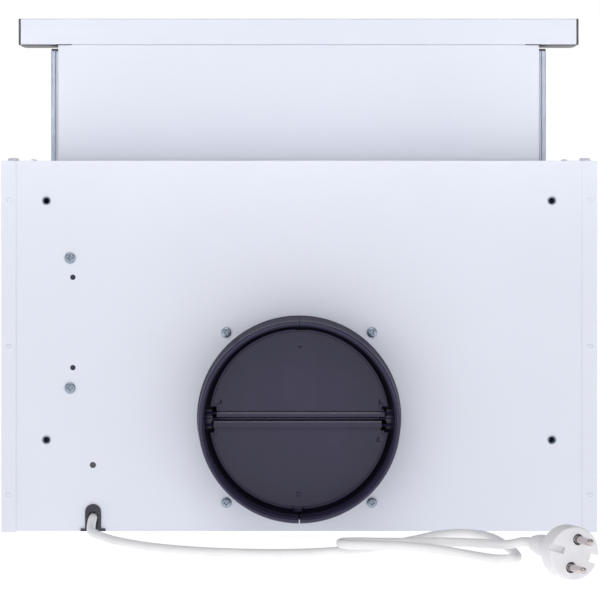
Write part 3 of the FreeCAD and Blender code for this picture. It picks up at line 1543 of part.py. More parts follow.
# Drawer
def make_drawer():
    """Top panel, side channels, mesh and front bar of the drawer."""
    top = deep(S.panel_top)
    under = top + S.sheet
    front = S.bar_place
    half = S.slide_inner_face
    plate = box("drawer_plate", (-half, half), (top, under), (S.drawer_low, front))
    flange = box("drawer_front_flange", (-S.drawer_flange_half, S.drawer_flange_half),
                 (top, under + S.drawer_flange_height), (front - S.sheet, front))
    rear = box("drawer_rear_lip", (-S.drawer_flange_half, S.drawer_flange_half),
               (top, under + S.drawer_flange_height), (S.drawer_low, S.drawer_low + S.sheet))
    node(fuse("drawer_top_panel", plate, flange, rear), "drawer_top_panel")

    steel = S.slide_steel
    low_face = under + S.drawer_side_height
    for side, sign in SIDES.items():
        name = "drawer_side_" + side
        inner = half - S.drawer_side_flange
        profile = [(x * sign, y) for x, y in [
            (half, under),
            (half, low_face),
            (inner, low_face),
            (inner, low_face - steel),
            (half - steel, low_face - steel),
            (half - steel, under + steel),
            (inner, under + steel),
            (inner, under),
        ]]
        part = body(name)
        pad(part, "XY_Plane", S.drawer_low + S.sheet, front - S.sheet, [profile])
        node(part, name)

    mesh_bottom = low_face - steel
    mesh = (mesh_bottom - S.drawer_mesh_thickness, mesh_bottom)
    mesh_half = half - steel
    mesh_z = (S.drawer_mesh_low, front - S.sheet)
    plate = box("drawer_mesh_plate", (-mesh_half, mesh_half), mesh, mesh_z)
    rim = S.drawer_side_flange
    slots = mesh_slots("drawer_slot", (-mesh_half + rim, mesh_half - rim),
                       (mesh_z[0] + rim, mesh_z[1] - rim), mesh)
    node(cut("drawer_filter_mesh", plate, *slots), "drawer_filter_mesh")

    bar_top = deep(S.bar_top)
    bar_bottom = deep(S.body_height)
    bar_front = front + S.bar_depth
    bar_steel = S.bar_steel
    profile = [
        (bar_top, front),
        (bar_top, bar_front),
        (bar_bottom, bar_front),
        (bar_bottom, front),
        (bar_bottom - S.bar_return, front),
        (bar_bottom - S.bar_return, front + bar_steel),
        (bar_bottom - bar_steel, front + bar_steel),
        (bar_bottom - bar_steel, bar_front - bar_steel),
        (bar_top + bar_steel, bar_front - bar_steel),
        (bar_top + bar_steel, front + bar_steel),
        (bar_top + S.bar_return, front + bar_steel),
        (bar_top + S.bar_return, front),
    ]
    bar_half = HALF_WIDTH - S.cap_thickness
    part = body("front_bar")
    pad(part, "YZ_Plane", -bar_half, bar_half, [profile])
    node(part, "front_bar")

    inside = (bar_top + bar_steel + S.fit_gap, bar_bottom - bar_steel - S.fit_gap)
    cover_z = (front + bar_steel, front + bar_steel + S.rear_cover)
    cover_half = bar_half - S.cap_plug
    node(box("bar_rear_cover", (-cover_half, cover_half), inside, cover_z), "bar_rear_cover")

    caps = []
    for side, sign in SIDES.items():
        face = box("cap_face_" + side, across(sign, bar_half, HALF_WIDTH), (bar_top, bar_bottom),
                   (front, bar_front))
        tongue = box("cap_tongue_" + side, across(sign, cover_half, bar_half), inside,
                     (cover_z[0] + S.fit_gap, bar_front - bar_steel - S.fit_gap))
        caps.append(fuse("bar_end_cap_" + side, face, tongue))
    node(group("bar_end_caps", caps), "bar_end_caps")


# Cord and plug
def tube_edges(points):
    """Straight runs joined by tangent arcs, each as large as its two runs allow."""
    edges = []
    radii = []
    start = points[0]
    for before, corner, after in zip(points, points[1:], points[2:]):
        inward = corner - before
        outward = after - corner
        reach = ARC_SHARE * min(inward.Length, outward.Length)
        inward.normalize()
        outward.normalize()
        half_turn = inward.getAngle(outward) / 2
        radius = reach / math.tan(half_turn)
        radii.append(radius)
        first = corner - inward * reach
        last = corner + outward * reach
        toward = outward - inward
        toward.normalize()
        middle = corner + toward * (radius / math.cos(half_turn) - radius)
        edges.append(Part.LineSegment(start, first).toShape())
        edges.append(Part.Arc(first, middle, last).toShape())
        start = last
    edges.append(Part.LineSegment(start, points[-1]).toShape())
    return edges, radii


def make_cord(name, route):
    """Round cord along a route, which starts in the notch."""
    start = FreeCAD.Vector(*route[0])
    exit_x = S.cord_exit_shift - S.notch_x
    notch = FreeCAD.Vector(exit_x.value, deep(S.cord_exit_depth).value, start.z)
    points = [FreeCAD.Vector(*point) + notch - start for point in route]
    edges, radii = tube_edges(points)
    wire = Part.Wire(edges)
    radius = S.cord_radius.value
    along = points[1] - points[0]
    section = Part.Wire([Part.makeCircle(radius, points[0], along)])
    tube = wire.makePipeShell([section], True, False)
    thing = doc.addObject("Part::Feature", name)
    thing.Shape = tube
    expected = math.pi * radius * radius * wire.Length
    print(name, "length", round(wire.Length, 1), "volume share", round(tube.Volume / expected, 5))
    print(name, "radii", [round(value, 1) for value in radii])
    node(thing, name)
    return points[-1], points[-1] - points[-2]


def make_plug(end, along):
    """Plug on the cord's end. Its own Z axis is the plug's axis and its face is at zero."""
    along.normalize()
    up = FreeCAD.Vector(0, 0, 1)
    side = up.cross(along)
    turned = FreeCAD.Rotation(side, up, along, "ZXY")
    roll = FreeCAD.Rotation(FreeCAD.Vector(0, 0, 1), -SIZES["plug_roll"])
    face = end + along * (SIZES["plug_length"] + SIZES["relief_length"])
    place = FreeCAD.Placement(face, turned.multiply(roll))

    part = body("plug_body")
    neck = S.plug_neck_radius
    wide = S.plug_radius
    profile = [
        (ZERO, ZERO),
        (ZERO, -S.plug_length),
        (neck, -S.plug_length),
        (neck, -S.plug_shoulder),
        (wide, -S.plug_rim),
        (wide, -S.plug_edge),
        (wide - S.plug_edge, ZERO),
    ]
    drawing = sketch(part, "XZ_Plane", ZERO, [profile], [])
    turn = part.newObject("PartDesign::Revolution", "plug_turn")
    turn.Profile = drawing
    turn.ReferenceAxis = (drawing, ["V_Axis"])
    turn.Angle = 360
    part.Tip = turn
    half_spacing = S.plug_pin_spacing / 2
    pin_spots = [(ZERO, half_spacing), (ZERO, -half_spacing)]
    pocket(part, "XY_Plane", -S.plug_pin_root, S.overrun,
           circles=[(x, y, S.plug_pin_radius) for x, y in pin_spots])
    pocket(part, "XY_Plane", -S.earth_hole_depth, S.overrun,
           circles=[(-S.earth_hole_place, ZERO, S.earth_hole_radius)])
    for sign in SIDES.values():
        span = across(sign, S.plug_notch_inner + S.earth_hole_radius * (1 - sign) / 2,
                      S.plug_radius + S.overrun)
        pocket(part, "XY_Plane", -S.plug_notch_depth, S.overrun,
               [rectangle(span[0], -S.plug_notch_half_width, span[1], S.plug_notch_half_width)])
    part.Placement = place
    node(part, "plug_body")

    pins = []
    for x, y in pin_spots:
        pins.append(rod("plug_pin", "z", x, y, -S.plug_pin_root, S.plug_pin_length,
                        S.plug_pin_radius))
    pins = group("plug_pins", pins)
    pins.Placement = place
    node(pins, "plug_pins")

    contacts = []
    for sign in SIDES.values():
        inner = S.plug_notch_inner + S.earth_hole_radius * (1 - sign) / 2
        contacts.append(box("contact", across(sign, inner, inner + S.contact_thickness),
                            (-S.contact_half_width, S.contact_half_width),
                            (-S.plug_notch_depth, -S.plug_notch_depth + S.contact_length)))
    contacts = group("plug_earth_contacts", contacts)
    contacts.Placement = place
    node(contacts, "plug_earth_contacts")

    cone = doc.addObject("Part::Cone", "relief_cone")
    bind(cone, "Radius1", S.relief_start_radius)
    bind(cone, "Radius2", S.relief_end_radius)
    bind(cone, "Height", S.relief_length)
    put(cone, ZERO, ZERO, -S.plug_length - S.relief_length)
    parts = [cone]
    count = int(S.relief_rings.value)
    for index in range(count):
        share = (index + 1) / (count + 1)
        radius = S.relief_start_radius + (S.relief_end_radius - S.relief_start_radius) * share
        at = -S.plug_length - S.relief_length * (1 - share)
        parts.append(rod("relief_ring", "z", ZERO, ZERO, at - S.relief_ring / 2,
                         at + S.relief_ring / 2, radius + S.relief_ring / 2))
    relief = fuse("plug_strain_relief", *parts)
    relief.Placement = place
    node(relief, "plug_strain_relief")


def check_all():
    """Stop if any object failed or any sub-part has no valid solid."""
    for thing in doc.Objects:
        if "Invalid" in thing.State or "Error" in thing.State:
            raise RuntimeError("failed: %s %s" % (thing.Name, thing.State))
    labels = set()
    for part in NODES:
        if part.Shape.isNull() or not part.Shape.isValid() or not part.Shape.Solids:
            raise RuntimeError("no valid solid: " + part.Label)
        if part.Label in labels:
            raise RuntimeError("two sub-parts share a name: " + part.Label)
        labels.add(part.Label)


def main():
    make_wrapper()
    for side, sign in SIDES.items():
        make_side_panel(side, sign)
    make_underside()
    make_rivets()
    make_plate_fasteners()
    make_grommet()
    for side, sign in SIDES.items():
        make_scroll_half(side, sign)
    make_scroll_screws()
    make_flap("flap_upper", 1)
    make_flap("flap_lower", -1)
    make_hinge_bar()
    make_motor()
    make_impeller()
    make_terminal_box()
    make_filter()
    make_lamp()
    make_controls()
    for side, sign in SIDES.items():
        make_slide(side, sign)
    make_slide_balls()
    make_slide_screws()
    make_drawer()
    make_cord("inner_cord", INNER_ROUTE)
    end, along = make_cord("power_cord", CORD_ROUTE)
    make_plug(end, along)
    doc.recompute()
    check_all()
    os.makedirs("parts", exist_ok=True)
    for part in NODES:
        part.Shape.exportStep("parts/%s.step" % part.Label)
        bounds = part.Shape.BoundBox
        print("%-22s solids %2d volume %10.1f  x %7.1f %7.1f  y %7.1f %7.1f  z %7.1f %7.1f" % (
            part.Label, len(part.Shape.Solids), part.Shape.Volume, bounds.XMin, bounds.XMax,
            bounds.YMin, bounds.YMax, bounds.ZMin, bounds.ZMax))
    print("sub-parts", len(NODES))


main()
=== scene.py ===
import json
import math
from typing import NamedTuple

import bmesh
import bpy
from bpy.props import FloatProperty, FloatVectorProperty, IntProperty, PointerProperty
from bpy.types import Operator, Panel, PropertyGroup
from mathutils import Matrix, Vector

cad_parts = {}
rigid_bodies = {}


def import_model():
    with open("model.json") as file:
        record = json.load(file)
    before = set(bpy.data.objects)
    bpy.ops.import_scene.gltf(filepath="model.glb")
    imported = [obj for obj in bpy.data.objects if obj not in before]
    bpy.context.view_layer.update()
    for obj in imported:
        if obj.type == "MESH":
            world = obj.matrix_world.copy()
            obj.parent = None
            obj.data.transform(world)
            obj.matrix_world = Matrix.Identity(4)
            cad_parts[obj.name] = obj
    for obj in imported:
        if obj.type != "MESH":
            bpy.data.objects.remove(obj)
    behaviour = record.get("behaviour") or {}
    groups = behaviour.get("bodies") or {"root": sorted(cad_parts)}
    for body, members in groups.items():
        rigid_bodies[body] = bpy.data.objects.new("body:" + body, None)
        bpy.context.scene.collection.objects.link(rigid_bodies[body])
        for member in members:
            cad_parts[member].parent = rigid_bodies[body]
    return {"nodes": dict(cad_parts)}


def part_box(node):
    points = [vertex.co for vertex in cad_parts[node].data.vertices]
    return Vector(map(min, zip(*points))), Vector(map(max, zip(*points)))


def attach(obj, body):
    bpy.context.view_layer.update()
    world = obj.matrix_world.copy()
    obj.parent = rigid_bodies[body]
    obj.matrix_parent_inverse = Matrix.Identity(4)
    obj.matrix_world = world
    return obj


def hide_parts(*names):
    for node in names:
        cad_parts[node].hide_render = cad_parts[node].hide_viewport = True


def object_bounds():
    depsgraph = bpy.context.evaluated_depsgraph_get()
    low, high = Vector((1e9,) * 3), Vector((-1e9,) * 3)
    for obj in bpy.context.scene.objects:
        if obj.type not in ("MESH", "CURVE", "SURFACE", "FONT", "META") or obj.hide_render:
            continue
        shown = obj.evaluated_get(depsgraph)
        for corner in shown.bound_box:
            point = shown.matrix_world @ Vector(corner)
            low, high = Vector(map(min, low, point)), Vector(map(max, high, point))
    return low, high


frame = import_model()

bl_info = {
    "name": "Built-in cooker hood",
    "version": (1, 0, 0),
    "blender": (4, 5, 0),
    "location": "View3D > Sidebar > Hood",
    "description": "Dresses a built-in cooker hood with a pull-out drawer, piece by piece",
    "category": "Object",
}

CAD_LOW, CAD_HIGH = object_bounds()
NODES = frame["nodes"]
MM = 0.001
SIDES = (("left", -1), ("right", 1))
QUARTER = math.radians(90)

# Points closer than MERGE are one point, and a value within NEAR of a place lies at it.
MERGE = 1e-6
NEAR = 2e-5

# Edges flatter than FLAT_EDGE are dissolved, and edges steeper than ROUND_EDGE are rounded.
FLAT_EDGE = math.radians(0.3)
ROUND_EDGE = math.radians(28)


class Facing(NamedTuple):
    """A way along an axis, and the turn that brings a shape made about Z to it."""

    axis: int
    sign: int
    turn: tuple


TOWARD_FRONT = Facing(axis=1, sign=-1, turn=(QUARTER, 0.0, 0.0))
TOWARD_TOP = Facing(axis=2, sign=1, turn=(0.0, 0.0, 0.0))
TOWARD_LEFT = Facing(axis=0, sign=-1, turn=(0.0, -QUARTER, 0.0))
TOWARD_RIGHT = Facing(axis=0, sign=1, turn=(0.0, QUARTER, 0.0))

# Places that the pieces share, read from the frame, in metres.
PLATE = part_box("casing_wrapper")[0].y
FLAP_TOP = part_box("flap_upper")[1].z
FLAP_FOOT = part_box("flap_lower")[0].z
FLAP_RADIUS = (FLAP_TOP - FLAP_FOOT) / 2
COLLAR_Z = (FLAP_TOP + FLAP_FOOT) / 2
COLLAR_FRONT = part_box("scroll_half_left")[0].y
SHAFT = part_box("motor_shaft")
FAN_CENTRE = Vector((0, (SHAFT[0].y + SHAFT[1].y) / 2, (SHAFT[0].z + SHAFT[1].z) / 2))
HINGE_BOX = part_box("flap_hinge_bar")
HINGE_Y = (HINGE_BOX[0].y + HINGE_BOX[1].y) / 2

# Thickness of the painted sheets.
SHEET = 0.8 * MM

# Route of the mains cord, from the notch to the plug.
CORD_ROUTE = [
    (-0.1554, -0.0639, 0.0112),
    (-0.1556, -0.0720, 0.0110),
    (-0.1561, -0.0800, 0.0062),
    (-0.1556, -0.0890, 0.00335),
    (-0.1532, -0.0995, 0.0033),
    (-0.1480, -0.1135, 0.00335),
    (-0.1405, -0.1315, 0.0033),
    (-0.1280, -0.1545, 0.00335),
    (-0.1070, -0.1805, 0.0033),
    (-0.0760, -0.2035, 0.00335),
    (-0.0380, -0.2155, 0.0033),
    (-0.0020, -0.2165, 0.00335),
    (0.0320, -0.2025, 0.0033),
    (0.0600, -0.1755, 0.00335),
    (0.0820, -0.1425, 0.0033),
    (0.0965, -0.1170, 0.00335),
    (0.1060, -0.1050, 0.0033),
    (0.1180, -0.0993, 0.00335),
    (0.1305, -0.1030, 0.0033),
    (0.1395, -0.1180, 0.00335),
    (0.1450, -0.1465, 0.0033),
    (0.1485, -0.1785, 0.00335),
    (0.1505, -0.2055, 0.0033),
    (0.1513, -0.2235, 0.00335),
    (0.1508, -0.2380, 0.0033),
    (0.1436, -0.2459, 0.0034),
    (0.1330, -0.2451, 0.0034),
    (0.1200, -0.2325, 0.0042),
    (0.0980, -0.2215, 0.0068),
    (0.0730, -0.2220, 0.0093),
    (0.0520, -0.2278, 0.0108),
    (0.0363, -0.2290, 0.0110),
    (0.0286, -0.2217, 0.0109),
    (0.0286, -0.2113, 0.0105),
    (0.0363, -0.2045, 0.0102),
    (0.0540, -0.2080, 0.0103),
    (0.0780, -0.2135, 0.0109),
    (0.1000, -0.2140, 0.0113),
    (0.1190, -0.2200, 0.0115),
    (0.1320, -0.2280, 0.0117),
    (0.1420, -0.2375, 0.0122),
    (0.1482, -0.2477, 0.0144),
    (0.1541, -0.2593, 0.0178),
    (0.1595, -0.2727, 0.0178),
]


# Sizes and colours that a user may change

def length(name, description, default):
    """A length property in metres."""
    return FloatProperty(name=name, description=description, default=default, min=0.0,
                         unit="LENGTH", precision=5)


def colour(name, description, default):
    """A colour property."""
    return FloatVectorProperty(name=name, description=description, default=default, size=3,
                               min=0.0, max=1.0, subtype="COLOR")


class HoodSizes(PropertyGroup):
    """Sizes of the details that the pieces are given."""

    sheet_bend: length("Bend radius", "Outer radius of the folds of the painted sheets", 0.0011)
    sheet_edge: length("Cut edge", "Rounding of the cut edges of the sheets", 0.00016)
    moulded_edge: length("Moulded edge", "Rounding of the moulded plastic edges", 0.0004)
    bar_edge: length("Bar edge", "Rounding of the long edges of the drawer's bar", 0.0012)
    cord_diameter: length("Cord diameter", "Outer diameter of the mains cord", 0.0065)
    cord_length: length("Cord length", "Length of the mains cord from the notch to the plug", 0.874)
    mesh_pitch_x: length("Mesh width", "Width of one opening of the expanded mesh", 0.0092)
    mesh_pitch_z: length("Mesh height", "Height of one opening of the expanded mesh", 0.0054)
    mesh_strand: length("Mesh strand", "Width of the strands of the expanded mesh", 0.0009)
    mesh_thick: length("Mesh thickness", "Thickness of the expanded mesh", 0.00045)
    blade_count: IntProperty(name="Blades", description="Blades in one row of the impeller",
                             default=36, min=8, max=80)
    seam_gap: length("Seam", "Gap between the two halves of the duct collar at its foot", 0.0009)


class HoodColours(PropertyGroup):
    """Colours of the finishes."""

    white_paint: colour("White paint", "Powder coat of the casing and the drawer",
                        (0.745, 0.775, 0.868))
    black_plastic: colour("Black plastic", "Blower housing, collar and flaps",
                          (0.021, 0.018, 0.049))
    dark_cap: colour("Grey plastic", "End caps, latch and knobs", (0.075, 0.07, 0.09))
    zinc: colour("Zinc", "Plated screws and nuts", (0.38, 0.44, 0.54))
    steel: colour("Slide steel", "Ball slides and their cages", (0.44, 0.48, 0.59))
    cord_white: colour("Cord", "Outer skin of the mains cord", (0.86, 0.855, 0.875))
    plug_white: colour("Plug", "Moulded plug", (0.80, 0.795, 0.83))
    grommet: colour("Rubber", "Edging in the notch", (0.050, 0.048, 0.072))
    aluminium: colour("Aluminium", "Grease filters", (0.72, 0.73, 0.75))


class HoodStage(PropertyGroup):
    """Camera and light."""

    camera_x: FloatProperty(name="Camera X", description="Place of the camera along the width",
                            default=-0.0069, unit="LENGTH")
    camera_distance: length("Camera distance", "How far the camera stands in front", 2.1465)
    camera_height: length("Camera height", "Height of the camera above the floor", 0.2546)
    lens: FloatProperty(name="Lens", description="Focal length of the camera", default=165.34,
                        min=10.0, subtype="DISTANCE_CAMERA")
    sky: FloatProperty(name="Upper light", description="Strength of the surroundings overhead",
                       default=0.3, min=0.0)
    room: FloatProperty(name="Room", description="Share of the horizon's light behind the camera",
                        default=0.85, min=0.0)
    key: FloatProperty(name="Key light", description="Power of the soft light overhead",
                       default=10.5, min=0.0, unit="POWER")


# Meshes

def add_object(name, data):
    """A mesh or a curve as an object at the origin."""
    piece = bpy.data.objects.new(name, data)
    bpy.context.scene.collection.objects.link(piece)
    return piece


def object_of(name, work):
    """A worked mesh as an object; the working copy ends here."""
    mesh = bpy.data.meshes.new(name)
    work.to_mesh(mesh)
    work.free()
    return add_object(name, mesh)


def shade(work, smooth_angle):
    """Shade a worked mesh smooth, with its edges above an angle left sharp."""
    limit = math.radians(smooth_angle)
    for edge in work.edges:
        edge.smooth = len(edge.link_faces) == 2 and edge.calc_face_angle(0.0) < limit
    for face in work.faces:
        face.smooth = True


def object_from(name, work, smooth_angle=40.0):
    """An object from a worked mesh, shaded smooth up to an angle."""
    shade(work, smooth_angle)
    return object_of(name, work)


def settle(piece):
    """Replace an object's modifiers by the mesh that they give."""
    bpy.context.view_layer.update()
    graph = bpy.context.evaluated_depsgraph_get()
    mesh = bpy.data.meshes.new_from_object(piece.evaluated_get(graph), depsgraph=graph)
    piece.modifiers.clear()
    piece.data = mesh
    mesh.name = piece.name
    return piece


def even_normals(piece):
    """Settle a piece with normals that follow its larger faces."""
    modifier = piece.modifiers.new("normals", "WEIGHTED_NORMAL")
    modifier.weight = 100
    modifier.keep_sharp = True
    return settle(piece)


def sharpen(piece, smooth_angle):
    """Shade a finished piece anew, with its edges above an angle left sharp."""
    work = bmesh.new()
    work.from_mesh(piece.data)
    shade(work, smooth_angle)
    work.to_mesh(piece.data)
    work.free()
    return even_normals(piece)


def discard(*pieces):
    """Take helper objects out of the scene."""
    for piece in pieces:
        bpy.data.objects.remove(piece, do_unlink=True)


def dress(piece, finish, body, replaced=()):
    """Give a piece its finish and let it ride on its body in place of CAD nodes."""
    piece.data.materials.clear()
    piece.data.materials.append(bpy.data.materials[finish])
    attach(piece, body)
    if replaced:
        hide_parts(*replaced)
    return piece


def move(piece, matrix):
    """Move a piece's mesh, leaving its object at the origin."""
    piece.data.transform(matrix)
    piece.data.update()
    return piece


def seated(piece, place, axis, angle=QUARTER):
    """Turn a piece about an axis and move it to its place."""
    return move(piece, Matrix.Translation(place) @ Matrix.Rotation(angle, 4, axis))


def joined(name, pieces):
    """Several objects as one, each keeping its own shading."""
    work = bmesh.new()
    for piece in pieces:
        work.from_mesh(piece.data)
    discard(*pieces)
    return object_of(name, work)


def carve(piece, cutter):
    """Cut a shape out of a piece; the shape is used up."""
    modifier = piece.modifiers.new("cut", "BOOLEAN")
    modifier.operation = "DIFFERENCE"
    modifier.solver = "EXACT"
    modifier.object = cutter
    settle(piece)
    discard(cutter)
    return piece


def near(value, place):
    """True if a coordinate lies at a place."""
    return abs(value - place) < NEAR


def weigh_edges(work, width, bends=()):
    """Mark how far each sharp edge is rounded, the folds of a sheet more than its cut edges.

    A bend is (axis along the edge, first place, second place, radius), with the places in the
    order of the two other axes. The largest radius comes back.
    """
    weights = work.edges.layers.float.new("bevel_weight_edge")
    widest = max([width] + [radius for axis, first, second, radius in bends])
    for edge in work.edges:
        if len(edge.link_faces) != 2 or edge.calc_face_angle(0.0) < ROUND_EDGE:
            continue
        size = width
        for axis, first, second, radius in bends:
            others = [index for index in range(3) if index != axis]
            if all(near(vert.co[others[0]], first) and near(vert.co[others[1]], second)
                   for vert in edge.verts):
                size = radius
        edge[weights] = size / widest
    return widest


def merged(node):
    """A CAD node's mesh as one closed surface with flat faces joined."""
    work = bmesh.new()
    work.from_mesh(NODES[node].data)
    bmesh.ops.remove_doubles(work, verts=work.verts, dist=MERGE)
    bmesh.ops.dissolve_limit(work, angle_limit=FLAT_EDGE, verts=work.verts, edges=work.edges)
    return work


def worked_copy(node, name, width, bends=(), segments=2, change=None):
    """The shape of a CAD node with rounded edges."""
    work = merged(node)
    if change:
        change(work)
    widest = weigh_edges(work, width, bends)
    for face in work.faces:
        face.smooth = True
    piece = object_of(name, work)
    modifier = piece.modifiers.new("edges", "BEVEL")
    modifier.limit_method = "WEIGHT"
    modifier.width = widest
    modifier.segments = segments
    modifier.use_clamp_overlap = True
    return even_normals(piece)


def dressed_copy(node, name, finish, body, width, bends=(), segments=3, change=None):
    """The worked shape of a CAD node, dressed in the node's place."""
    return dress(worked_copy(node, name, width, bends, segments, change), finish, body, (node,))


def lathe(profile, steps, start=0.0, sweep=2 * math.pi, closed=False):
    """A mesh turned about Z from (radius, height) points in millimetres."""
    work = bmesh.new()
    full = near(sweep, 2 * math.pi)
    count = steps if full else steps + 1
    rings = []
    for radius, height in profile:
        if not radius:
            rings.append([work.verts.new((0, 0, height * MM))] * count)
            continue
        angles = [start + sweep * index / steps for index in range(count)]
        rings.append([work.verts.new((radius * MM * math.cos(angle),
                                      radius * MM * math.sin(angle), height * MM))
                      for angle in angles])
    pairs = list(zip(rings, rings[1:]))
    if closed:
        pairs.append((rings[-1], rings[0]))
    for lower, upper in pairs:
        for index in range(count if full else count - 1):
            after = (index + 1) % count
            corners = []
            for vert in (lower[index], lower[after], upper[after], upper[index]):
                if vert not in corners:
                    corners.append(vert)
            if len(corners) > 2:
                work.faces.new(corners)
    if not full:
        work.faces.new([ring[0] for ring in rings])
        work.faces.new([ring[-1] for ring in reversed(rings)])
    bmesh.ops.recalc_face_normals(work, faces=work.faces)
    return work


def turned(name, profile, steps, smooth_angle=40.0, closed=False):
    """An object turned about Z from (radius, height) points in millimetres."""
    return object_from(name, lathe(profile, steps, closed=closed), smooth_angle)


def skin(rings, merge=False):
    """A closed mesh over rings of points, with a cap on the first ring and on the last."""
    work = bmesh.new()
    made = [[work.verts.new(point) for point in ring] for ring in rings]
    for lower, upper in zip(made, made[1:]):
        for index in range(len(lower)):
            after = (index + 1) % len(lower)
            work.faces.new((lower[index], lower[after], upper[after], upper[index]))
    work.faces.new(made[0])
    work.faces.new(made[-1])
    if merge:
        bmesh.ops.remove_doubles(work, verts=work.verts, dist=MERGE)
    bmesh.ops.recalc_face_normals(work, faces=work.faces)
    return work


def add_block(work, low, high):
    """A block between two corners, into a mesh."""
    made = bmesh.ops.create_cube(work, size=1.0)["verts"]
    size = Vector(high) - Vector(low)
    middle = (Vector(high) + Vector(low)) / 2
    for vert in made:
        vert.co = Vector([vert.co[axis] * size[axis] + middle[axis] for axis in range(3)])
    return made


def block(name, low, high, edge, segments=2):
    """A block between two corners, with rounded edges."""
    work = bmesh.new()
    add_block(work, low, high)
    if edge:
        bmesh.ops.bevel(work, geom=list(work.edges), offset=edge, segments=segments,
                        affect="EDGES", profile=0.5)
    return object_from(name, work)


def shells(work):
    """The points of each separate shell of a mesh."""
    left = set(work.verts)
    while left:
        shell = [left.pop()]
        for vert in shell:
            for edge in vert.link_edges:
                other = edge.other_vert(vert)
                if other in left:
                    left.remove(other)
                    shell.append(other)
        yield shell


def solids(node):
    """The centre and the two corners of each separate solid of a node, in a fixed order."""
    work = bmesh.new()
    work.from_mesh(NODES[node].data)
    bmesh.ops.remove_doubles(work, verts=work.verts, dist=MERGE)
    boxes = []
    for shell in shells(work):
        columns = list(zip(*(vert.co for vert in shell)))
        boxes.append((Vector([min(column) for column in columns]),
                      Vector([max(column) for column in columns])))
    work.free()
    boxes.sort(key=lambda box: tuple(round(value, 5) for value in box[0] + box[1]))
    return [((low + high) / 2, low, high) for low, high in boxes]


# Geometry Nodes

class Graph:
    """A node tree with named inputs, built step by step."""

    def __init__(self, name, kind="GeometryNodeTree"):
        self.tree = bpy.data.node_groups.new(name, kind)
        self.ids = {}
        self.entry = self.tree.nodes.new("NodeGroupInput")
        self.exit = self.tree.nodes.new("NodeGroupOutput")

    def input(self, name, kind, default=None):
        """A named input; returns its socket inside the tree."""
        socket = self.tree.interface.new_socket(name=name, in_out="INPUT", socket_type=kind)
        if default is not None:
            socket.default_value = default
        self.ids[name] = socket.identifier
        return self.entry.outputs[-2]

    def output(self, name, kind, value):
        """A named output that puts out a value."""
        self.tree.interface.new_socket(name=name, in_out="OUTPUT", socket_type=kind)
        self.tree.links.new(value, self.exit.inputs[-2])

    def add(self, kind, values=(), **settings):
        """A node with its settings, and its inputs as values or links."""
        step = self.tree.nodes.new(kind)
        for key, value in settings.items():
            setattr(step, key, value)
        for key, value in dict(values).items():
            socket = step.inputs[key]
            if isinstance(value, bpy.types.NodeSocket):
                self.tree.links.new(value, socket)
            else:
                socket.default_value = value
        return step

    def instances_of(self, shape):
        """The geometry of an object that is given by a socket."""
        info = self.add("GeometryNodeObjectInfo", {"Object": shape, "As Instance": True})
        return info.outputs["Geometry"]

    def turned_by(self, angles):
        """A rotation from three angles."""
        return self.add("FunctionNodeEulerToRotation", {"Euler": angles}).outputs[0]

    def end(self, geometry, finish):
        """End a geometry tree in real faces with their finish."""
        real = self.add("GeometryNodeRealizeInstances", {"Geometry": geometry})
        done = self.add("GeometryNodeSetMaterial",
                        {"Geometry": real.outputs[0], "Material": finish})
        self.output("Geometry", "NodeSocketGeometry", done.outputs[0])
        return self


def copies_tree():
    """Copies of one worked shape on the points of a mesh, each turned about its own axis."""
    graph = Graph("placed copies")
    points = graph.input("Points", "NodeSocketGeometry")
    shape = graph.input("Shape", "NodeSocketObject")
    facing = graph.input("Facing", "NodeSocketVector")
    turn = graph.input("Largest Turn", "NodeSocketFloat", 0.0)
    seed = graph.input("Seed", "NodeSocketInt", 7)
    finish = graph.input("Finish", "NodeSocketMaterial")
    # Of the node's sockets, 3 is the upper limit of a plain number and 8 is the seed.
    chance = graph.add("FunctionNodeRandomValue", {3: turn, 8: seed}, data_type="FLOAT")
    spin = graph.add("ShaderNodeCombineXYZ", {"Z": chance.outputs[1]})
    both = graph.add("FunctionNodeRotateRotation",
                     {"Rotation": graph.turned_by(facing),
                      "Rotate By": graph.turned_by(spin.outputs[0])}, rotation_space="LOCAL")
    placed = graph.add("GeometryNodeInstanceOnPoints",
                       {"Points": points, "Instance": graph.instances_of(shape),
                        "Rotation": both.outputs[0]})
    return graph.end(placed.outputs[0], finish)


def wheel_tree():
    """Copies of one blade round the X axis."""
    graph = Graph("wheel of blades")
    graph.input("Geometry", "NodeSocketGeometry")
    blade = graph.input("Blade", "NodeSocketObject")
    count = graph.input("Count", "NodeSocketInt", 36)
    centre = graph.input("Centre", "NodeSocketVector")
    finish = graph.input("Finish", "NodeSocketMaterial")
    line = graph.add("GeometryNodeMeshLine", {"Count": count, "Offset": (0.0, 0.0, 0.0)},
                     mode="OFFSET", count_mode="TOTAL")
    number = graph.add("GeometryNodeInputIndex")
    share = graph.add("ShaderNodeMath", {0: number.outputs[0], 1: count}, operation="DIVIDE")
    angle = graph.add("ShaderNodeMath", {0: share.outputs[0], 1: 2 * math.pi},
                      operation="MULTIPLY")
    turn = graph.add("ShaderNodeCombineXYZ", {"X": angle.outputs[0]})
    placed = graph.add("GeometryNodeInstanceOnPoints",
                       {"Points": line.outputs[0], "Instance": graph.instances_of(blade),
                        "Rotation": graph.turned_by(turn.outputs[0])})
    shift = graph.add("GeometryNodeTransform",
                      {"Geometry": placed.outputs[0], "Translation": centre})
    return graph.end(shift.outputs[0], finish)


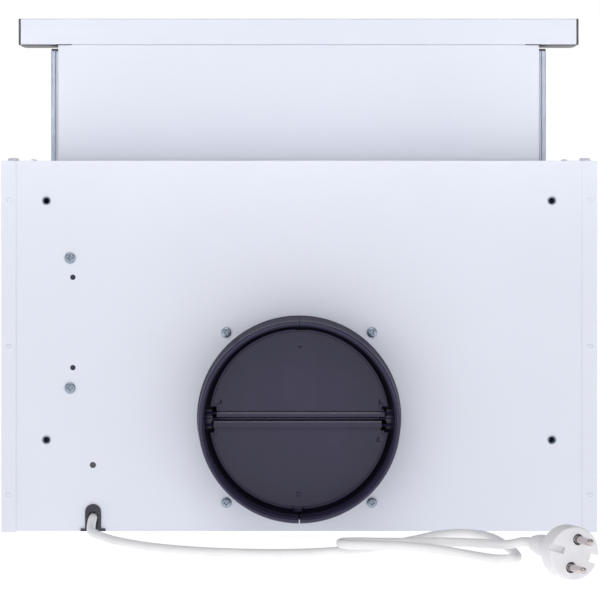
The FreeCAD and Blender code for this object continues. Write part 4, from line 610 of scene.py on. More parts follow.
def lattice_tree():
    """Expanded mesh: knots on two grids that lie half a pitch apart, in the XZ plane."""
    graph = Graph("expanded mesh")
    graph.input("Geometry", "NodeSocketGeometry")
    knot = graph.input("Knot", "NodeSocketObject")
    width = graph.input("Width", "NodeSocketFloat", 0.1)
    height = graph.input("Height", "NodeSocketFloat", 0.1)
    columns = graph.input("Columns", "NodeSocketInt", 10)
    rows = graph.input("Rows", "NodeSocketInt", 10)
    half = graph.input("Half Pitch", "NodeSocketVector")
    centre = graph.input("Centre", "NodeSocketVector")
    finish = graph.input("Finish", "NodeSocketMaterial")
    grid = graph.add("GeometryNodeMeshGrid", {"Size X": width, "Size Y": height,
                                              "Vertices X": columns, "Vertices Y": rows})
    upright = graph.add("GeometryNodeTransform",
                        {"Geometry": grid.outputs[0], "Rotation": (QUARTER, 0.0, 0.0)})
    offset = graph.add("ShaderNodeVectorMath", {0: centre, 1: half}, operation="ADD")
    both = graph.add("GeometryNodeJoinGeometry")
    for place in (centre, offset.outputs[0]):
        layer = graph.add("GeometryNodeTransform",
                          {"Geometry": upright.outputs[0], "Translation": place})
        graph.tree.links.new(layer.outputs[0], both.inputs[0])
    placed = graph.add("GeometryNodeInstanceOnPoints",
                       {"Points": both.outputs[0], "Instance": graph.instances_of(knot)})
    real = graph.add("GeometryNodeRealizeInstances", {"Geometry": placed.outputs[0]})
    weld = graph.add("GeometryNodeMergeByDistance",
                     {"Geometry": real.outputs[0], "Distance": MERGE})
    return graph.end(weld.outputs[0], finish)


TREES = {}


def grown(name, maker, values, points=((0, 0, 0),)):
    """An object whose mesh a tree makes from points, as a plain mesh."""
    if maker not in TREES:
        TREES[maker] = maker()
    graph = TREES[maker]
    work = bmesh.new()
    for point in points:
        work.verts.new(point)
    piece = object_of(name, work)
    modifier = piece.modifiers.new(graph.tree.name, "NODES")
    modifier.node_group = graph.tree
    for key, value in values.items():
        modifier[graph.ids[key]] = value
    return settle(piece)


def copies(name, shape, points, finish, facing=TOWARD_TOP, largest_turn=0.0, seed=7):
    """Copies of a shape on points, as one plain mesh."""
    values = {
        "Shape": shape,
        "Facing": facing.turn,
        "Largest Turn": largest_turn,
        "Seed": seed,
        "Finish": bpy.data.materials[finish],
    }
    return grown(name, copies_tree, values, points)


# Finishes

class Pattern(Graph):
    """A shader group with the inputs and outputs that all the groups share."""

    def __init__(self, name):
        super().__init__(name, "ShaderNodeTree")
        self.vector = self.input("Vector", "NodeSocketVector")
        self.scale = self.input("Scale", "NodeSocketFloat", 1.0)

    def reckon(self, operation, *values, clamp=False):
        """One step of reckoning."""
        return self.add("ShaderNodeMath", dict(enumerate(values)), operation=operation,
                        use_clamp=clamp).outputs[0]

    def times_scale(self, waves):
        """A number of waves in one metre, times the group's scale."""
        return self.reckon("MULTIPLY", self.scale, waves)

    def noise(self, waves, detail, roughness=0.5, vector=None):
        """Noise from 0 to 1."""
        step = self.add("ShaderNodeTexNoise",
                        {"Vector": vector or self.vector, "Scale": self.times_scale(waves),
                         "Detail": detail, "Roughness": roughness})
        return step.outputs[0]

    def drawn_out(self, share):
        """The place with Z drawn out, for marks that run along Z."""
        return self.add("ShaderNodeMapping", {"Vector": self.vector,
                                              "Scale": (1.0, 1.0, share)}).outputs[0]

    def spread(self, value, low, high, top=1.0):
        """A value stretched from the span between two others to the span from zero to a top."""
        step = self.add("ShaderNodeMapRange",
                        {"Value": value, "From Min": low, "From Max": high, "To Max": top})
        return step.outputs[0]

    def end_pattern(self, tone, polish, height):
        """The group's outputs: colour mask, roughness mask and height."""
        for name, value in (("Tone", tone), ("Polish", polish), ("Height", height)):
            self.output(name, "NodeSocketFloat", value)
        return self.tree


def powder_coat():
    """Orange peel with a soft cloud and fine specks."""
    coat = Pattern("powder coat")
    peel = coat.noise(waves=520.0, detail=2.0, roughness=0.45)
    fine = coat.noise(waves=2600.0, detail=2.0, roughness=0.6)
    cloud = coat.noise(waves=9.0, detail=3.0)
    specks = coat.spread(fine, 0.68, 0.80, top=0.5)
    tone = coat.reckon("ADD", coat.spread(cloud, 0.3, 0.7), specks, clamp=True)
    polish = coat.reckon("MULTIPLY_ADD", peel, 0.5, 0.5)
    height = coat.reckon("ADD", peel, coat.reckon("MULTIPLY", fine, 0.12))
    return coat.end_pattern(tone, polish, height)


def moulded_grain():
    """Fine spark-eroded grain of moulded plastic, with flow marks."""
    moulded = Pattern("moulded grain")
    grain = moulded.noise(waves=1900.0, detail=3.0, roughness=0.6)
    flow = moulded.noise(waves=16.0, detail=4.0, roughness=0.6)
    streak = moulded.noise(waves=60.0, detail=3.0, vector=moulded.drawn_out(0.12))
    tone = moulded.spread(moulded.reckon("ADD", flow, streak), 0.75, 1.25)
    height = moulded.reckon("ADD", grain, moulded.reckon("MULTIPLY", flow, 0.8))
    return moulded.end_pattern(tone, grain, height)


def rolled_metal():
    """Rolling marks along Z with plated spangles."""
    metal = Pattern("rolled metal")
    marks = metal.noise(waves=900.0, detail=3.0, vector=metal.drawn_out(0.03))
    cells = metal.add("ShaderNodeTexVoronoi",
                      {"Vector": metal.vector, "Scale": metal.times_scale(160.0)})
    spangle = metal.add("ShaderNodeSeparateColor", {"Color": cells.outputs["Color"]})
    cloud = metal.noise(waves=30.0, detail=3.0)
    mixed = metal.reckon("ADD", metal.reckon("MULTIPLY", spangle.outputs[0], 0.35),
                      metal.reckon("MULTIPLY", marks, 0.65))
    return metal.end_pattern(metal.spread(mixed, 0.25, 0.75), metal.spread(cloud, 0.3, 0.7),
                             marks)


def soft_skin():
    """Fine extruded skin of a cord or of rubber: faint lines with handling marks."""
    soft = Pattern("soft skin")
    fine = soft.noise(waves=1300.0, detail=3.0, roughness=0.6)
    marks = soft.noise(waves=45.0, detail=4.0, roughness=0.6)
    height = soft.reckon("ADD", fine, soft.reckon("MULTIPLY", marks, 0.5))
    return soft.end_pattern(soft.spread(marks, 0.35, 0.7), fine, height)


class Finish(NamedTuple):
    """What one finish is made of."""

    group: str
    light: tuple
    dark: tuple
    rough: float
    metal: float = 0.0
    scale: float = 1.0
    bump: float = 0.2
    distance: float = 0.03 * MM
    specular: float = 0.5
    transmission: float = 0.0
    spread: float = 0.06


def make_finish(name, finish, groups):
    """A material: a group varies its colour, roughness and surface."""
    material = bpy.data.materials.new(name)
    material.use_nodes = True
    nodes = material.node_tree.nodes
    links = material.node_tree.links
    shader = nodes["Principled BSDF"]
    coordinates = nodes.new("ShaderNodeTexCoord")
    pattern = nodes.new("ShaderNodeGroup")
    pattern.node_tree = groups[finish.group]
    pattern.inputs["Scale"].default_value = finish.scale
    links.new(coordinates.outputs["Object"], pattern.inputs["Vector"])
    # The colour sockets of a Mix node are inputs 6 and 7 and output 2.
    tint = nodes.new("ShaderNodeMix")
    tint.data_type = "RGBA"
    tint.inputs[6].default_value = (*finish.light, 1.0)
    tint.inputs[7].default_value = (*finish.dark, 1.0)
    links.new(pattern.outputs["Tone"], tint.inputs[0])
    links.new(tint.outputs[2], shader.inputs["Base Color"])
    rough = nodes.new("ShaderNodeMapRange")
    rough.inputs["To Min"].default_value = finish.rough - finish.spread
    rough.inputs["To Max"].default_value = finish.rough + finish.spread
    links.new(pattern.outputs["Polish"], rough.inputs["Value"])
    links.new(rough.outputs[0], shader.inputs["Roughness"])
    bump = nodes.new("ShaderNodeBump")
    bump.inputs["Strength"].default_value = finish.bump
    bump.inputs["Distance"].default_value = finish.distance
    links.new(pattern.outputs["Height"], bump.inputs["Height"])
    links.new(bump.outputs[0], shader.inputs["Normal"])
    for socket, value in (("Metallic", finish.metal), ("Specular IOR Level", finish.specular),
                          ("Transmission Weight", finish.transmission)):
        shader.inputs[socket].default_value = value


def darker(tint, share):
    """A colour made darker by a share, or lighter by a negative one."""
    return tuple(channel * (1.0 - share) for channel in tint)


# Cord and plug, in millimetres: the plug's own Z is its axis, and its face is at zero

PLUG_LENGTH = 36.0
PLUG_RADIUS = 17.8
PLUG_TURN = math.radians(-16)
RELIEF_LENGTH = 22.0
RELIEF_ROOT = -PLUG_LENGTH - RELIEF_LENGTH
RELIEF_RIBS = 5
PIN_PLACE = 9.5
PIN_RADIUS = 2.4
PIN_LENGTH = 19.0
SEAT_DEPTH = 2.4


def plug_matrix():
    """Place of the plug at the end of the cord's route."""
    end = Vector(CORD_ROUTE[-1])
    along = (end - Vector(CORD_ROUTE[-2])).normalized()
    side = Vector((0, 0, 1)).cross(along).normalized()
    up = along.cross(side)
    face = end - along * RELIEF_ROOT * MM
    turn = Matrix((side, up, along)).transposed().to_4x4()
    return Matrix.Translation(face) @ turn @ Matrix.Rotation(PLUG_TURN, 4, "Z")


def make_cord(diameter):
    """The mains cord as one smooth curve along its route."""
    curve = bpy.data.curves.new("mains_cord", "CURVE")
    curve.dimensions = "3D"
    curve.resolution_u = 10
    curve.bevel_depth = diameter / 2
    curve.bevel_resolution = 7
    curve.use_fill_caps = True
    spline = curve.splines.new("NURBS")
    spline.points.add(len(CORD_ROUTE) - 1)
    for point, place in zip(spline.points, CORD_ROUTE):
        point.co = (*place, 1.0)
    spline.order_u = 3
    spline.use_endpoint_u = True
    spline.use_smooth = True
    return add_object("mains_cord", curve)


def make_relief():
    """Ribbed strain relief between the cord and the plug."""
    start, end = 4.3, 6.5
    cord, lip = 3.2, 0.4
    crest, groove, half_rib, half_crest = 0.85, 0.35, 1.5, 0.95
    profile = [(cord, RELIEF_ROOT - lip), (start - 0.3, RELIEF_ROOT)]
    for index in range(RELIEF_RIBS):
        share = (index + 0.45) / RELIEF_RIBS
        radius = start + (end - start) * math.sin(math.pi / 2 * min(1.0, share * 1.6))
        at = RELIEF_ROOT + RELIEF_LENGTH * share
        profile += [(radius - groove, at - half_rib), (radius + crest - 0.1, at - half_crest),
                    (radius + crest, at), (radius + crest - 0.1, at + half_crest),
                    (radius - groove, at + half_rib)]
    profile += [(end + 0.2, -PLUG_LENGTH - 0.8), (end + 0.7, -PLUG_LENGTH + 0.4)]
    return turned("cord_relief", profile, steps=56, smooth_angle=50.0)


def plug_body():
    """Round moulded plug with its grip, notches and the grooves round its pins."""
    profile = [
        (0.0, -PLUG_LENGTH), (7.6, -PLUG_LENGTH), (8.3, -35.6), (8.6, -34.8), (8.7, -29.5),
        (8.9, -27.0), (9.6, -25.2), (11.0, -23.2), (13.2, -20.2), (15.2, -17.6), (16.6, -15.8),
        (17.35, -14.9), (17.7, -14.0), (PLUG_RADIUS, -12.8), (PLUG_RADIUS, -3.4), (17.55, -3.1),
        (17.55, -2.6), (PLUG_RADIUS, -2.3), (PLUG_RADIUS, -1.3), (17.6, -0.6), (17.1, -0.15),
        (16.4, 0.0), (0.0, 0.0),
    ]
    body = turned("plug_moulding", profile, steps=112, smooth_angle=28.0)
    past, corner = 1.0, 0.9
    notches = bmesh.new()
    for first, last, half, depth in ((11.2, 20.0, 2.9, 11.0), (-20.0, -7.6, 2.2, 3.4)):
        add_block(notches, (first * MM, -half * MM, -depth * MM),
                  (last * MM, half * MM, past * MM))
    upright = [edge for edge in notches.edges
               if not near((edge.verts[0].co - edge.verts[1].co).z, 0.0)]
    bmesh.ops.bevel(notches, geom=upright, offset=corner * MM, segments=3, affect="EDGES",
                    profile=0.5)
    carve(body, object_from("notches", notches))
    inner, outer, mouth = 2.45, 3.65, 3.8
    ring = [(inner, past), (inner, -SEAT_DEPTH), (outer, -SEAT_DEPTH), (mouth, past)]
    for place in (-PIN_PLACE, PIN_PLACE):
        groove = turned("groove", ring, steps=40, closed=True)
        carve(body, move(groove, Matrix.Translation((0, place * MM, 0))))
    return sharpen(body, smooth_angle=30.0)


def at_both_pins(name, shape, finish):
    """Copies of a shape at the places of the two pins; the shape is used up."""
    pair = copies(name, shape, [(0, -PIN_PLACE * MM, 0), (0, PIN_PLACE * MM, 0)], finish)
    discard(shape)
    return pair


def pin_seats():
    """Dark rings set into the grooves round the pins."""
    inner, outer, foot, top = 2.42, 3.62, -2.3, -1.05
    ring = [(inner, foot), (outer, foot), (outer, top - 0.2), (outer - 0.17, top),
            (inner + 0.18, top), (inner, top - 0.15)]
    return at_both_pins("pin_seat_rings", turned("seat", ring, steps=36, closed=True),
                        "grommet")


def plug_pins():
    """Two round pins with rounded tips."""
    root = -6.0
    profile = [(0, root), (PIN_RADIUS, root), (PIN_RADIUS, 16.3), (2.3, 17.3), (2.0, 18.1),
               (1.5, 18.65), (0.8, 18.93), (0.0, PIN_LENGTH)]
    return at_both_pins("mains_pins", turned("pin", profile, steps=40), "nickel")


def plug_contacts():
    """Two bent earth springs in the notches."""
    springs = []
    for sign, half, outline in (
            (1, 2.2, [(11.2, -11.0), (11.2, -4.6), (11.7, -3.0), (11.4, -2.0), (11.95, -2.0),
                      (12.3, -3.1), (11.85, -4.8), (11.85, -11.0)]),
            (-1, 1.7, [(16.0, -12.0), (16.0, -4.4), (15.6, -4.1), (15.9, -3.7), (16.7, -4.3),
                       (16.7, -12.0)])):
        rings = [[(x * sign * MM, y * MM, z * MM) for x, z in outline] for y in (-half, half)]
        springs.append(object_from("earth_spring", skin(rings)))
    return joined("earth_springs", springs)


# Fasteners, with their sizes in millimetres

THREAD = 1.75


def pan_screw(radius, height, shank, reach):
    """Pan-head screw with a cross recess; its seat is at zero and its head is up."""
    point, lead = 1.2, 0.7
    dome = [(0.93, 0.0), (0.99, 0.10), (1.0, 0.30), (0.985, 0.52), (0.93, 0.70), (0.84, 0.84),
            (0.70, 0.93), (0.52, 0.98), (0.30, 1.0), (0.0, 1.0)]
    profile = [(0.0, -reach - point), (0.5, -reach - lead), (shank - 0.25, -reach),
               (shank, -reach + 0.6), (shank, -0.2), (shank, 0.0)]
    profile += [(radius * across, height * up) for across, up in dome]
    head = turned("screw_head", profile, steps=44, smooth_angle=50.0)
    half_long, half_wide, floor, foot_share = 0.62 * radius, 0.15 * radius, 0.12 * height, 0.45
    for turn in (0.0, QUARTER):
        blade = bmesh.new()
        made = add_block(blade, (-half_long * MM, -half_wide * MM, floor * MM),
                         (half_long * MM, half_wide * MM, (height + 1) * MM))
        for vert in made:
            if vert.co.z < height / 2 * MM:
                vert.co.x *= foot_share
        bmesh.ops.rotate(blade, verts=made, cent=(0, 0, 0), matrix=Matrix.Rotation(turn, 3, "Z"))
        carve(head, object_from("blade", blade))
    return sharpen(head, smooth_angle=34.0)


def blind_rivet(radius, height, reach):
    """Domed rivet with the small hollow that its mandrel leaves."""
    mandrel, shank = 1.2, 1.5
    dome = [(1.0, 0.0), (1.0, 0.25), (0.93, 0.55), (0.78, 0.82), (0.55, 1.0), (0.40, 1.0),
            (0.33, 0.82), (0.26, 0.2), (0.0, 0.05)]
    profile = [(0.0, -reach), (mandrel, -reach), (shank, -reach + 0.4), (shank, 0.0)]
    profile += [(radius * across, height * up) for across, up in dome]
    return turned("rivet_shape", profile, steps=40, smooth_angle=55.0)


def rivet_nut():
    """Flanged rivet nut with a rolled bulge and threads in its bore."""
    profile = [(2.75, 0.5), (3.15, 0.5), (3.35, 0.35), (3.35, 0.0), (3.0, -0.05), (3.0, -0.8),
               (4.0, -1.1), (4.2, -2.2), (3.9, -3.4), (3.0, -3.9), (3.0, -9.6), (2.6, -10.0)]
    turns, foot, threaded, bore, root = 14, -10.0, 9.6, 1.95, 2.3
    for index in range(turns):
        height = foot + (index + 0.5) * threaded / turns
        profile += [(bore, height - 0.2), (root, height + 0.1)]
    profile += [(bore, -0.55), (bore + 0.15, -0.25), (2.5, 0.3)]
    return turned("nut_shape", profile, steps=40, smooth_angle=50.0, closed=True)


def head_seats(node, facing, sunk):
    """Seats of a node's solids, at a depth below the outer ends of their heads."""
    found = []
    for centre, low, high in solids(node):
        end = high if facing.sign > 0 else low
        centre[facing.axis] = end[facing.axis] - facing.sign * sunk * MM
        found.append(centre)
    return found


def turned_copies(name, shape, points, finish, facing, seed):
    """Copies of a fastener on its seats, each tightened to an angle of its own."""
    return copies(name, shape, points, finish, facing, largest_turn=math.pi, seed=seed)


def fasten(name, node, shape, sunk, finish, facing, seed):
    """Dress a node's fasteners as turned copies of one shape; the shape is used up."""
    piece = turned_copies(name, shape, head_seats(node, facing, sunk), finish, facing, seed)
    discard(shape)
    return dress(piece, finish, "casing", (node,))


# Flaps, with their sizes in millimetres

HINGE_OFFSET = 4.6
HALF_PLATE = 0.8
EJECTOR_MARK = [(0.0, -0.42), (0.5, -0.41), (1.0, -0.36), (1.5, -0.25), (1.95, -0.08),
                (2.15, 0.02), (2.25, 1.0), (0.0, 1.0)]


class Flap(NamedTuple):
    """What sets one flap apart; heights run from the collar's axis toward its own rim."""

    way: int
    left: float
    right: float
    foot: float
    wide: float
    shoulder: float
    cuts: tuple
    marks: tuple
    section: tuple

    @property
    def front(self):
        """Depth of the plate's face toward the duct, in metres."""
        return HINGE_Y + (self.way - HALF_PLATE) * MM


UPPER_FLAP = Flap(
    way=1, left=-62.0, right=64.4, foot=6.1, wide=62.6, shoulder=9.0,
    cuts=((-2.6, 5.6, 66.6),),
    marks=((0.6, 142.1), (-60.0, 99.6), (61.6, 99.6)),
    section=((-1.70, -2.15), (-1.70, -0.35), (-1.28, 0.60), (-1.00, 0.95), (-0.75, 1.05),
             (0.70, 1.05), (1.30, 0.70), (1.50, 0.0), (1.30, -1.60), (0.50, -2.90),
             (-0.60, -3.30), (-1.05, -3.25), (-1.50, -2.95)))
LOWER_FLAP = Flap(
    way=-1, left=-64.4, right=62.0, foot=8.4, wide=64.4, shoulder=9.4,
    cuts=((-5.3, -4.35, 65.2), (2.75, 3.7, 65.2)),
    marks=((-0.6, 30.4), (-61.6, 71.0), (60.0, 71.0)),
    section=((-1.75, -2.25), (-1.75, 1.20), (-1.55, 2.00), (-1.20, 2.25), (-0.80, 2.30),
             (0.70, 2.10), (1.30, 1.20), (1.50, 0.0), (1.30, -1.70), (0.50, -3.10),
             (-0.70, -3.55), (-1.05, -3.50), (-1.34, -3.20)))


def flap_outline(flap, inset, steps=84):
    """Half-moon outline of a flap drawn in by an inset, as (x, height) in metres."""
    radius = FLAP_RADIUS - inset
    shoulder = flap.shoulder * MM + inset
    wide = flap.wide * MM - inset
    foot = flap.foot * MM
    first = math.asin(shoulder / radius)
    points = [(-wide, foot), (wide, foot), (wide, shoulder)]
    for index in range(steps + 1):
        angle = first + (math.pi - 2 * first) * index / steps
        points.append((radius * math.cos(angle), radius * math.sin(angle)))
    points.append((-wide, shoulder))
    return points


def flap_block(flap, left, right, low, high, front, back, edge=0.0):
    """A block on a flap, its heights given from the collar's axis, its depths from its front."""
    ends = sorted((COLLAR_Z + flap.way * low * MM, COLLAR_Z + flap.way * high * MM))
    return block("flap_block", (left * MM, flap.front + front * MM, ends[0]),
                 (right * MM, flap.front + back * MM, ends[1]), edge * MM)


def flap_plate(flap):
    """A flap's plate: rounded rim, a fine groove just inside it, cuts and ejector marks."""
    rim = [(0.35, 1.60), (0.0, 1.25), (0.0, 0.95), (0.06, 0.70), (0.20, 0.46), (0.42, 0.24),
           (0.72, 0.08), (1.10, 0.0)]
    groove = [(1.70, 0.03), (1.90, 0.20), (2.25, 0.20), (2.50, 0.03), (3.00, 0.0)]
    rings = [[(x, flap.front + depth * MM, COLLAR_Z + height * flap.way)
              for x, height in flap_outline(flap, inset * MM)] for inset, depth in rim + groove]
    plate = object_from("flap_plate", skin(rings, merge=True), smooth_angle=30.0)
    past_rim, before, behind = 70.0, -1.0, 3.0
    for left, right, low in flap.cuts:
        carve(plate, flap_block(flap, left, right, low, past_rim, before, behind))
    for x, z in flap.marks:
        mark = turned("dimple", EJECTOR_MARK, steps=32)
        carve(plate, seated(mark, (x * MM, flap.front, z * MM), "X"))
    return sharpen(plate, smooth_angle=30.0)


def flap_barrel(flap):
    """The moulded bar along a flap's hinge edge, the web that holds it, and its two pins."""
    axis = Vector((0, HINGE_Y, COLLAR_Z + HINGE_OFFSET * MM * flap.way))
    chamfer, end_share = 0.3, 0.8
    stations = ((flap.left, end_share), (flap.left + chamfer, 1.0),
                (flap.right - chamfer, 1.0), (flap.right, end_share))
    rings = [[axis + Vector((x, y * share, z * share * flap.way)) * MM for y, z in flap.section]
             for x, share in stations]
    bar = object_from("flap_bar", skin(rings), smooth_angle=12.0)
    web = flap_block(flap, flap.left + 1.0, flap.right - 1.0, HINGE_OFFSET, flap.foot + 1.0,
                     front=0.85, back=1.6)
    half, radius, tip = 70.0, 1.0, 0.2
    profile = [(0, -half), (radius - tip, -half), (radius, -half + 0.3), (radius, half - 0.3),
               (radius - tip, half), (0, half)]
    pins = seated(turned("flap_pin", profile, steps=24), axis, "Y")
    return [bar, web, pins]


def flap_ribs(flap):
    """Stiffening ribs on the back of a flap, and the lower flap's thumb tab."""
    half, back, reach = 0.6, 1.5, 60.0
    ribs = []
    for x in (-36.0, 0.0, 36.0):
        top = math.sqrt(reach ** 2 - x * x)
        ribs.append(flap_block(flap, x - half, x + half, flap.foot + 1.0, top, back, back + 1.2,
                               edge=0.2))
    if flap is LOWER_FLAP:
        ribs.append(flap_block(flap, left=-4.1, right=2.5, low=62.0, high=69.4, front=0.25,
                               back=back, edge=0.3))
    return ribs


def hinge_bridge():
    """The bar between the flaps, its two ends and the bearings of the pins."""
    front, back, end = HINGE_BOX[0].y, HINGE_BOX[1].y, HINGE_BOX[1].x
    half_long, half_high, deep, edge = 65.0 * MM, 0.9 * MM, 1.0 * MM, 0.3 * MM
    bearing, lug = 64.8 * MM, 65.6 * MM
    parts = [block("bridge", (-half_long, back - deep, COLLAR_Z - half_high),
                   (half_long, back, COLLAR_Z + half_high), edge)]
    for sign in (-1, 1):
        for low, high, inner, first in ((1.1, 2.9, bearing, front + 0.4 * MM),
                                        (-1.4, 0.7, bearing, front + 0.9 * MM),
                                        (-7.2, 7.2, lug, back - 1.5 * MM)):
            ends = sorted((sign * inner, sign * end))
            parts.append(block("bearing", (ends[0], first, COLLAR_Z + low * MM),
                               (ends[1], back, COLLAR_Z + high * MM), edge))
    return joined("hinge_bridge", parts)


# Blower, with its sizes in millimetres

SEAM_TOP_SHARE = 0.35
IMPELLER_HALF = 62.0
IMPELLER_RADIUS = 50.0
BLADE_LENGTH = 60.0
BLADE_INSET = 0.5


def open_seam(sign, gap):
    """A change to one half of the housing: the collar's mouth steps back for the rolled lip,
    and the collar is drawn from the middle plane, more at its foot than at its top.
    """
    seam_end, lip_skin, step = PLATE + 2.5 * MM, COLLAR_FRONT + 0.05 * MM, 2.0 * MM

    def change(work):
        for vert in work.verts:
            if vert.co.y < lip_skin:
                vert.co.y += step
            if near(vert.co.x, 0.0) and vert.co.y <= seam_end:
                share = 1.0 if vert.co.z < COLLAR_Z else SEAM_TOP_SHARE
                vert.co.x += sign * gap / 2 * share

    return change


def half_ring(name, section, sign, gap):
    """Half of a ring about the collar's axis, from (radius, y) points."""
    work = lathe(section, steps=96, start=-sign * QUARTER, sweep=math.pi, closed=True)
    for vert in work.verts:
        if near(vert.co.x, 0.0):
            vert.co.x += sign * gap / 2 * (1.0 if vert.co.y > 0 else SEAM_TOP_SHARE)
    return seated(object_from(name, work, smooth_angle=50.0), (0, 0, COLLAR_Z), "X", -QUARTER)


def collar_rings(sign, gap):
    """The collar's rolled lip, the ledge round the flaps and the ring of its throat; the last is a
    dark ring that is painted shade in the gap round the flaps.
    """
    middle, half_wide, half_deep, points = 73.2, 1.75, 2.3, 20
    front = COLLAR_FRONT / MM
    angles = [2 * math.pi * index / points for index in range(points)]
    lip = [(middle + half_wide * math.cos(angle), front + half_deep + half_deep * math.sin(angle))
           for angle in angles]
    ledge = [(71.3, -80.6), (71.45, -80.8), (73.6, -80.8), (73.6, -78.6), (71.3, -78.6)]
    throat = [(65.0, -76.6), (73.9, -76.6), (73.9, -75.2), (65.0, -75.2)]
    return [half_ring(name, section, sign, gap)
            for name, section in (("lip", lip), ("ledge", ledge), ("throat", throat))]


def impeller_blade():
    """One curved blade, its length along X, standing on the impeller's rim."""
    thickness, inner, outer, steps = 1.1, 41.5, 49.6, 6
    bow, lean = 1.4, 2.6
    section = []
    for side, order in ((1, range(steps + 1)), (-1, range(steps, -1, -1))):
        for share in (index / steps for index in order):
            middle = math.sin(share * math.pi) * bow + share * lean
            section.append((middle + side * thickness / 2, inner + (outer - inner) * share))
    rings = [[(x * MM, y * MM, z * MM) for y, z in section] for x in (0.0, BLADE_LENGTH)]
    return object_from("blade_shape", skin(rings), smooth_angle=50.0)


def turned_on_shaft(name, profile):
    """A closed ring about the fan's axis from (x, radius) points in millimetres."""
    ring = turned(name, [(radius, x) for x, radius in profile], steps=96, smooth_angle=35.0,
                  closed=True)
    return seated(ring, FAN_CENTRE, "Y")


def blade_rows(count):
    """The two rows of blades, one on either side of the impeller's disc."""
    outer = IMPELLER_HALF - BLADE_INSET
    blade = impeller_blade()
    rows = []
    for start in (-outer, outer - BLADE_LENGTH):
        rows.append(grown("blade_row", wheel_tree, {
            "Blade": blade,
            "Count": count,
            "Centre": FAN_CENTRE + Vector((start * MM, 0, 0)),
            "Finish": bpy.data.materials["white_plastic"],
        }))
    discard(blade)
    return rows


def impeller_disc():
    """The disc in the impeller's middle, with the hub that holds the shaft."""
    bore, neck, rim, chamfer = 3.05, 10.0, IMPELLER_RADIUS, 0.3
    disc = [(-1.6, bore), (-10.0, bore), (-10.0, 7.4), (-9.4, 8.0), (-2.6, 8.4), (-1.6, neck),
            (-1.6, rim - chamfer), (-1.2, rim), (1.2, rim), (1.6, rim - chamfer), (1.6, neck),
            (2.4, 8.4), (4.6, 8.0), (5.0, 7.4), (5.0, bore)]
    return turned_on_shaft("hub", disc)


def impeller_ring(sign):
    """The ring round the blades at the left end or the right end of the impeller."""
    inner, rim = 43.4, IMPELLER_RADIUS
    section = [(0.0, inner), (0.0, rim - 0.4), (0.4, rim), (2.0, rim), (2.0, rim - 1.0),
               (1.0, 48.4), (1.0, inner)]
    return turned_on_shaft("end_ring",
                           [(sign * (IMPELLER_HALF - x), radius) for x, radius in section])


# Filters

def mesh_knot(sizes):
    """One knot of expanded mesh: four strands that meet, tilted as the shears leave them."""
    half, lean = sizes.mesh_thick / 2, 0.8
    work = bmesh.new()
    for sign_x, sign_z in ((1, 1), (-1, 1), (-1, -1), (1, -1)):
        end = Vector((sign_x * sizes.mesh_pitch_x / 4, 0, sign_z * sizes.mesh_pitch_z / 4))
        along = end.normalized()
        side = Vector((-along.z, 0, along.x)) * sizes.mesh_strand / 2
        corners = []
        for base in (Vector((0, 0, 0)), end + Vector((0, sign_z * half * lean, 0))):
            for y in (-half, half):
                for way in (-1, 1):
                    corners.append(work.verts.new(base + side * way + Vector((0, y, 0))))
        for numbers in ((0, 1, 5, 4), (2, 6, 7, 3), (0, 4, 6, 2), (1, 3, 7, 5)):
            work.faces.new([corners[number] for number in numbers])
    bmesh.ops.recalc_face_normals(work, faces=work.faces)
    return object_from("knot_shape", work, smooth_angle=20.0)


def expanded_mesh(name, low, high, layers, sizes):
    """Layers of expanded mesh between two corners, each set a little aside of the last."""
    aside = 0.31
    pitch_x, pitch_z = sizes.mesh_pitch_x, sizes.mesh_pitch_z
    knot = mesh_knot(sizes)
    columns = int((high.x - low.x) / pitch_x)
    rows = int((high.z - low.z) / pitch_z)
    centre = (low + high) / 2
    parts = []
    for number in range(layers):
        y = low.y + (high.y - low.y) * (number + 0.5) / layers
        shift = pitch_x * aside * number
        parts.append(grown(name + "_layer", lattice_tree, {
            "Knot": knot,
            "Width": (columns - 1) * pitch_x,
            "Height": (rows - 1) * pitch_z,
            "Columns": columns,
            "Rows": rows,
            "Half Pitch": (pitch_x / 2, 0.0, pitch_z / 2),
            "Centre": (centre.x - pitch_x / 4 + shift, y, centre.z - pitch_z / 4),
            "Finish": bpy.data.materials["aluminium"],
        }))
    discard(knot)
    return joined(name, parts)


def framed_mesh(node, sizes):
    """The drawer's mesh: one layer in a flat rim, with a bar across its middle."""
    low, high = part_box(node)
    tucked = Vector((5 * MM, 0, 5 * MM))
    rim, edge = 9.0 * MM, 0.5 * MM
    bar_left, bar_right = -2.0 * MM, 1.2 * MM
    inner_low, inner_high = low.z + rim, high.z - rim
    parts = [expanded_mesh("drawer_weave", low + tucked, high - tucked, 1, sizes)]
    for left, foot, right, top in (
            (low.x, low.z, high.x, inner_low), (low.x, inner_high, high.x, high.z),
            (low.x, inner_low, low.x + rim, inner_high),
            (high.x - rim, inner_low, high.x, inner_high),
            (bar_left, inner_low, bar_right, inner_high)):
        parts.append(block("mesh_rim", (left, low.y, foot), (right, high.y, top), edge))
    return joined("drawer_mesh_panel", parts)


# Stage

FRAME_PIXELS = 600
SHIFT_X_PIXELS = 10
SHIFT_Y_PIXELS = -105
SENSOR = 36.0
FLOOR_HALF = 12.0
FLOOR_DROP = 0.2 * MM


def make_camera(scene, stage):
    """The camera at the photograph's angle."""
    lens = bpy.data.cameras.new("camera")
    lens.lens = stage.lens
    lens.sensor_width = SENSOR
    lens.shift_x = SHIFT_X_PIXELS / FRAME_PIXELS
    lens.shift_y = SHIFT_Y_PIXELS / FRAME_PIXELS
    lens.clip_end = 50.0
    camera = bpy.data.objects.new("camera", lens)
    camera.location = (stage.camera_x, -stage.camera_distance, stage.camera_height)
    camera.rotation_euler = (QUARTER, 0, 0)
    scene.collection.objects.link(camera)
    scene.camera = camera


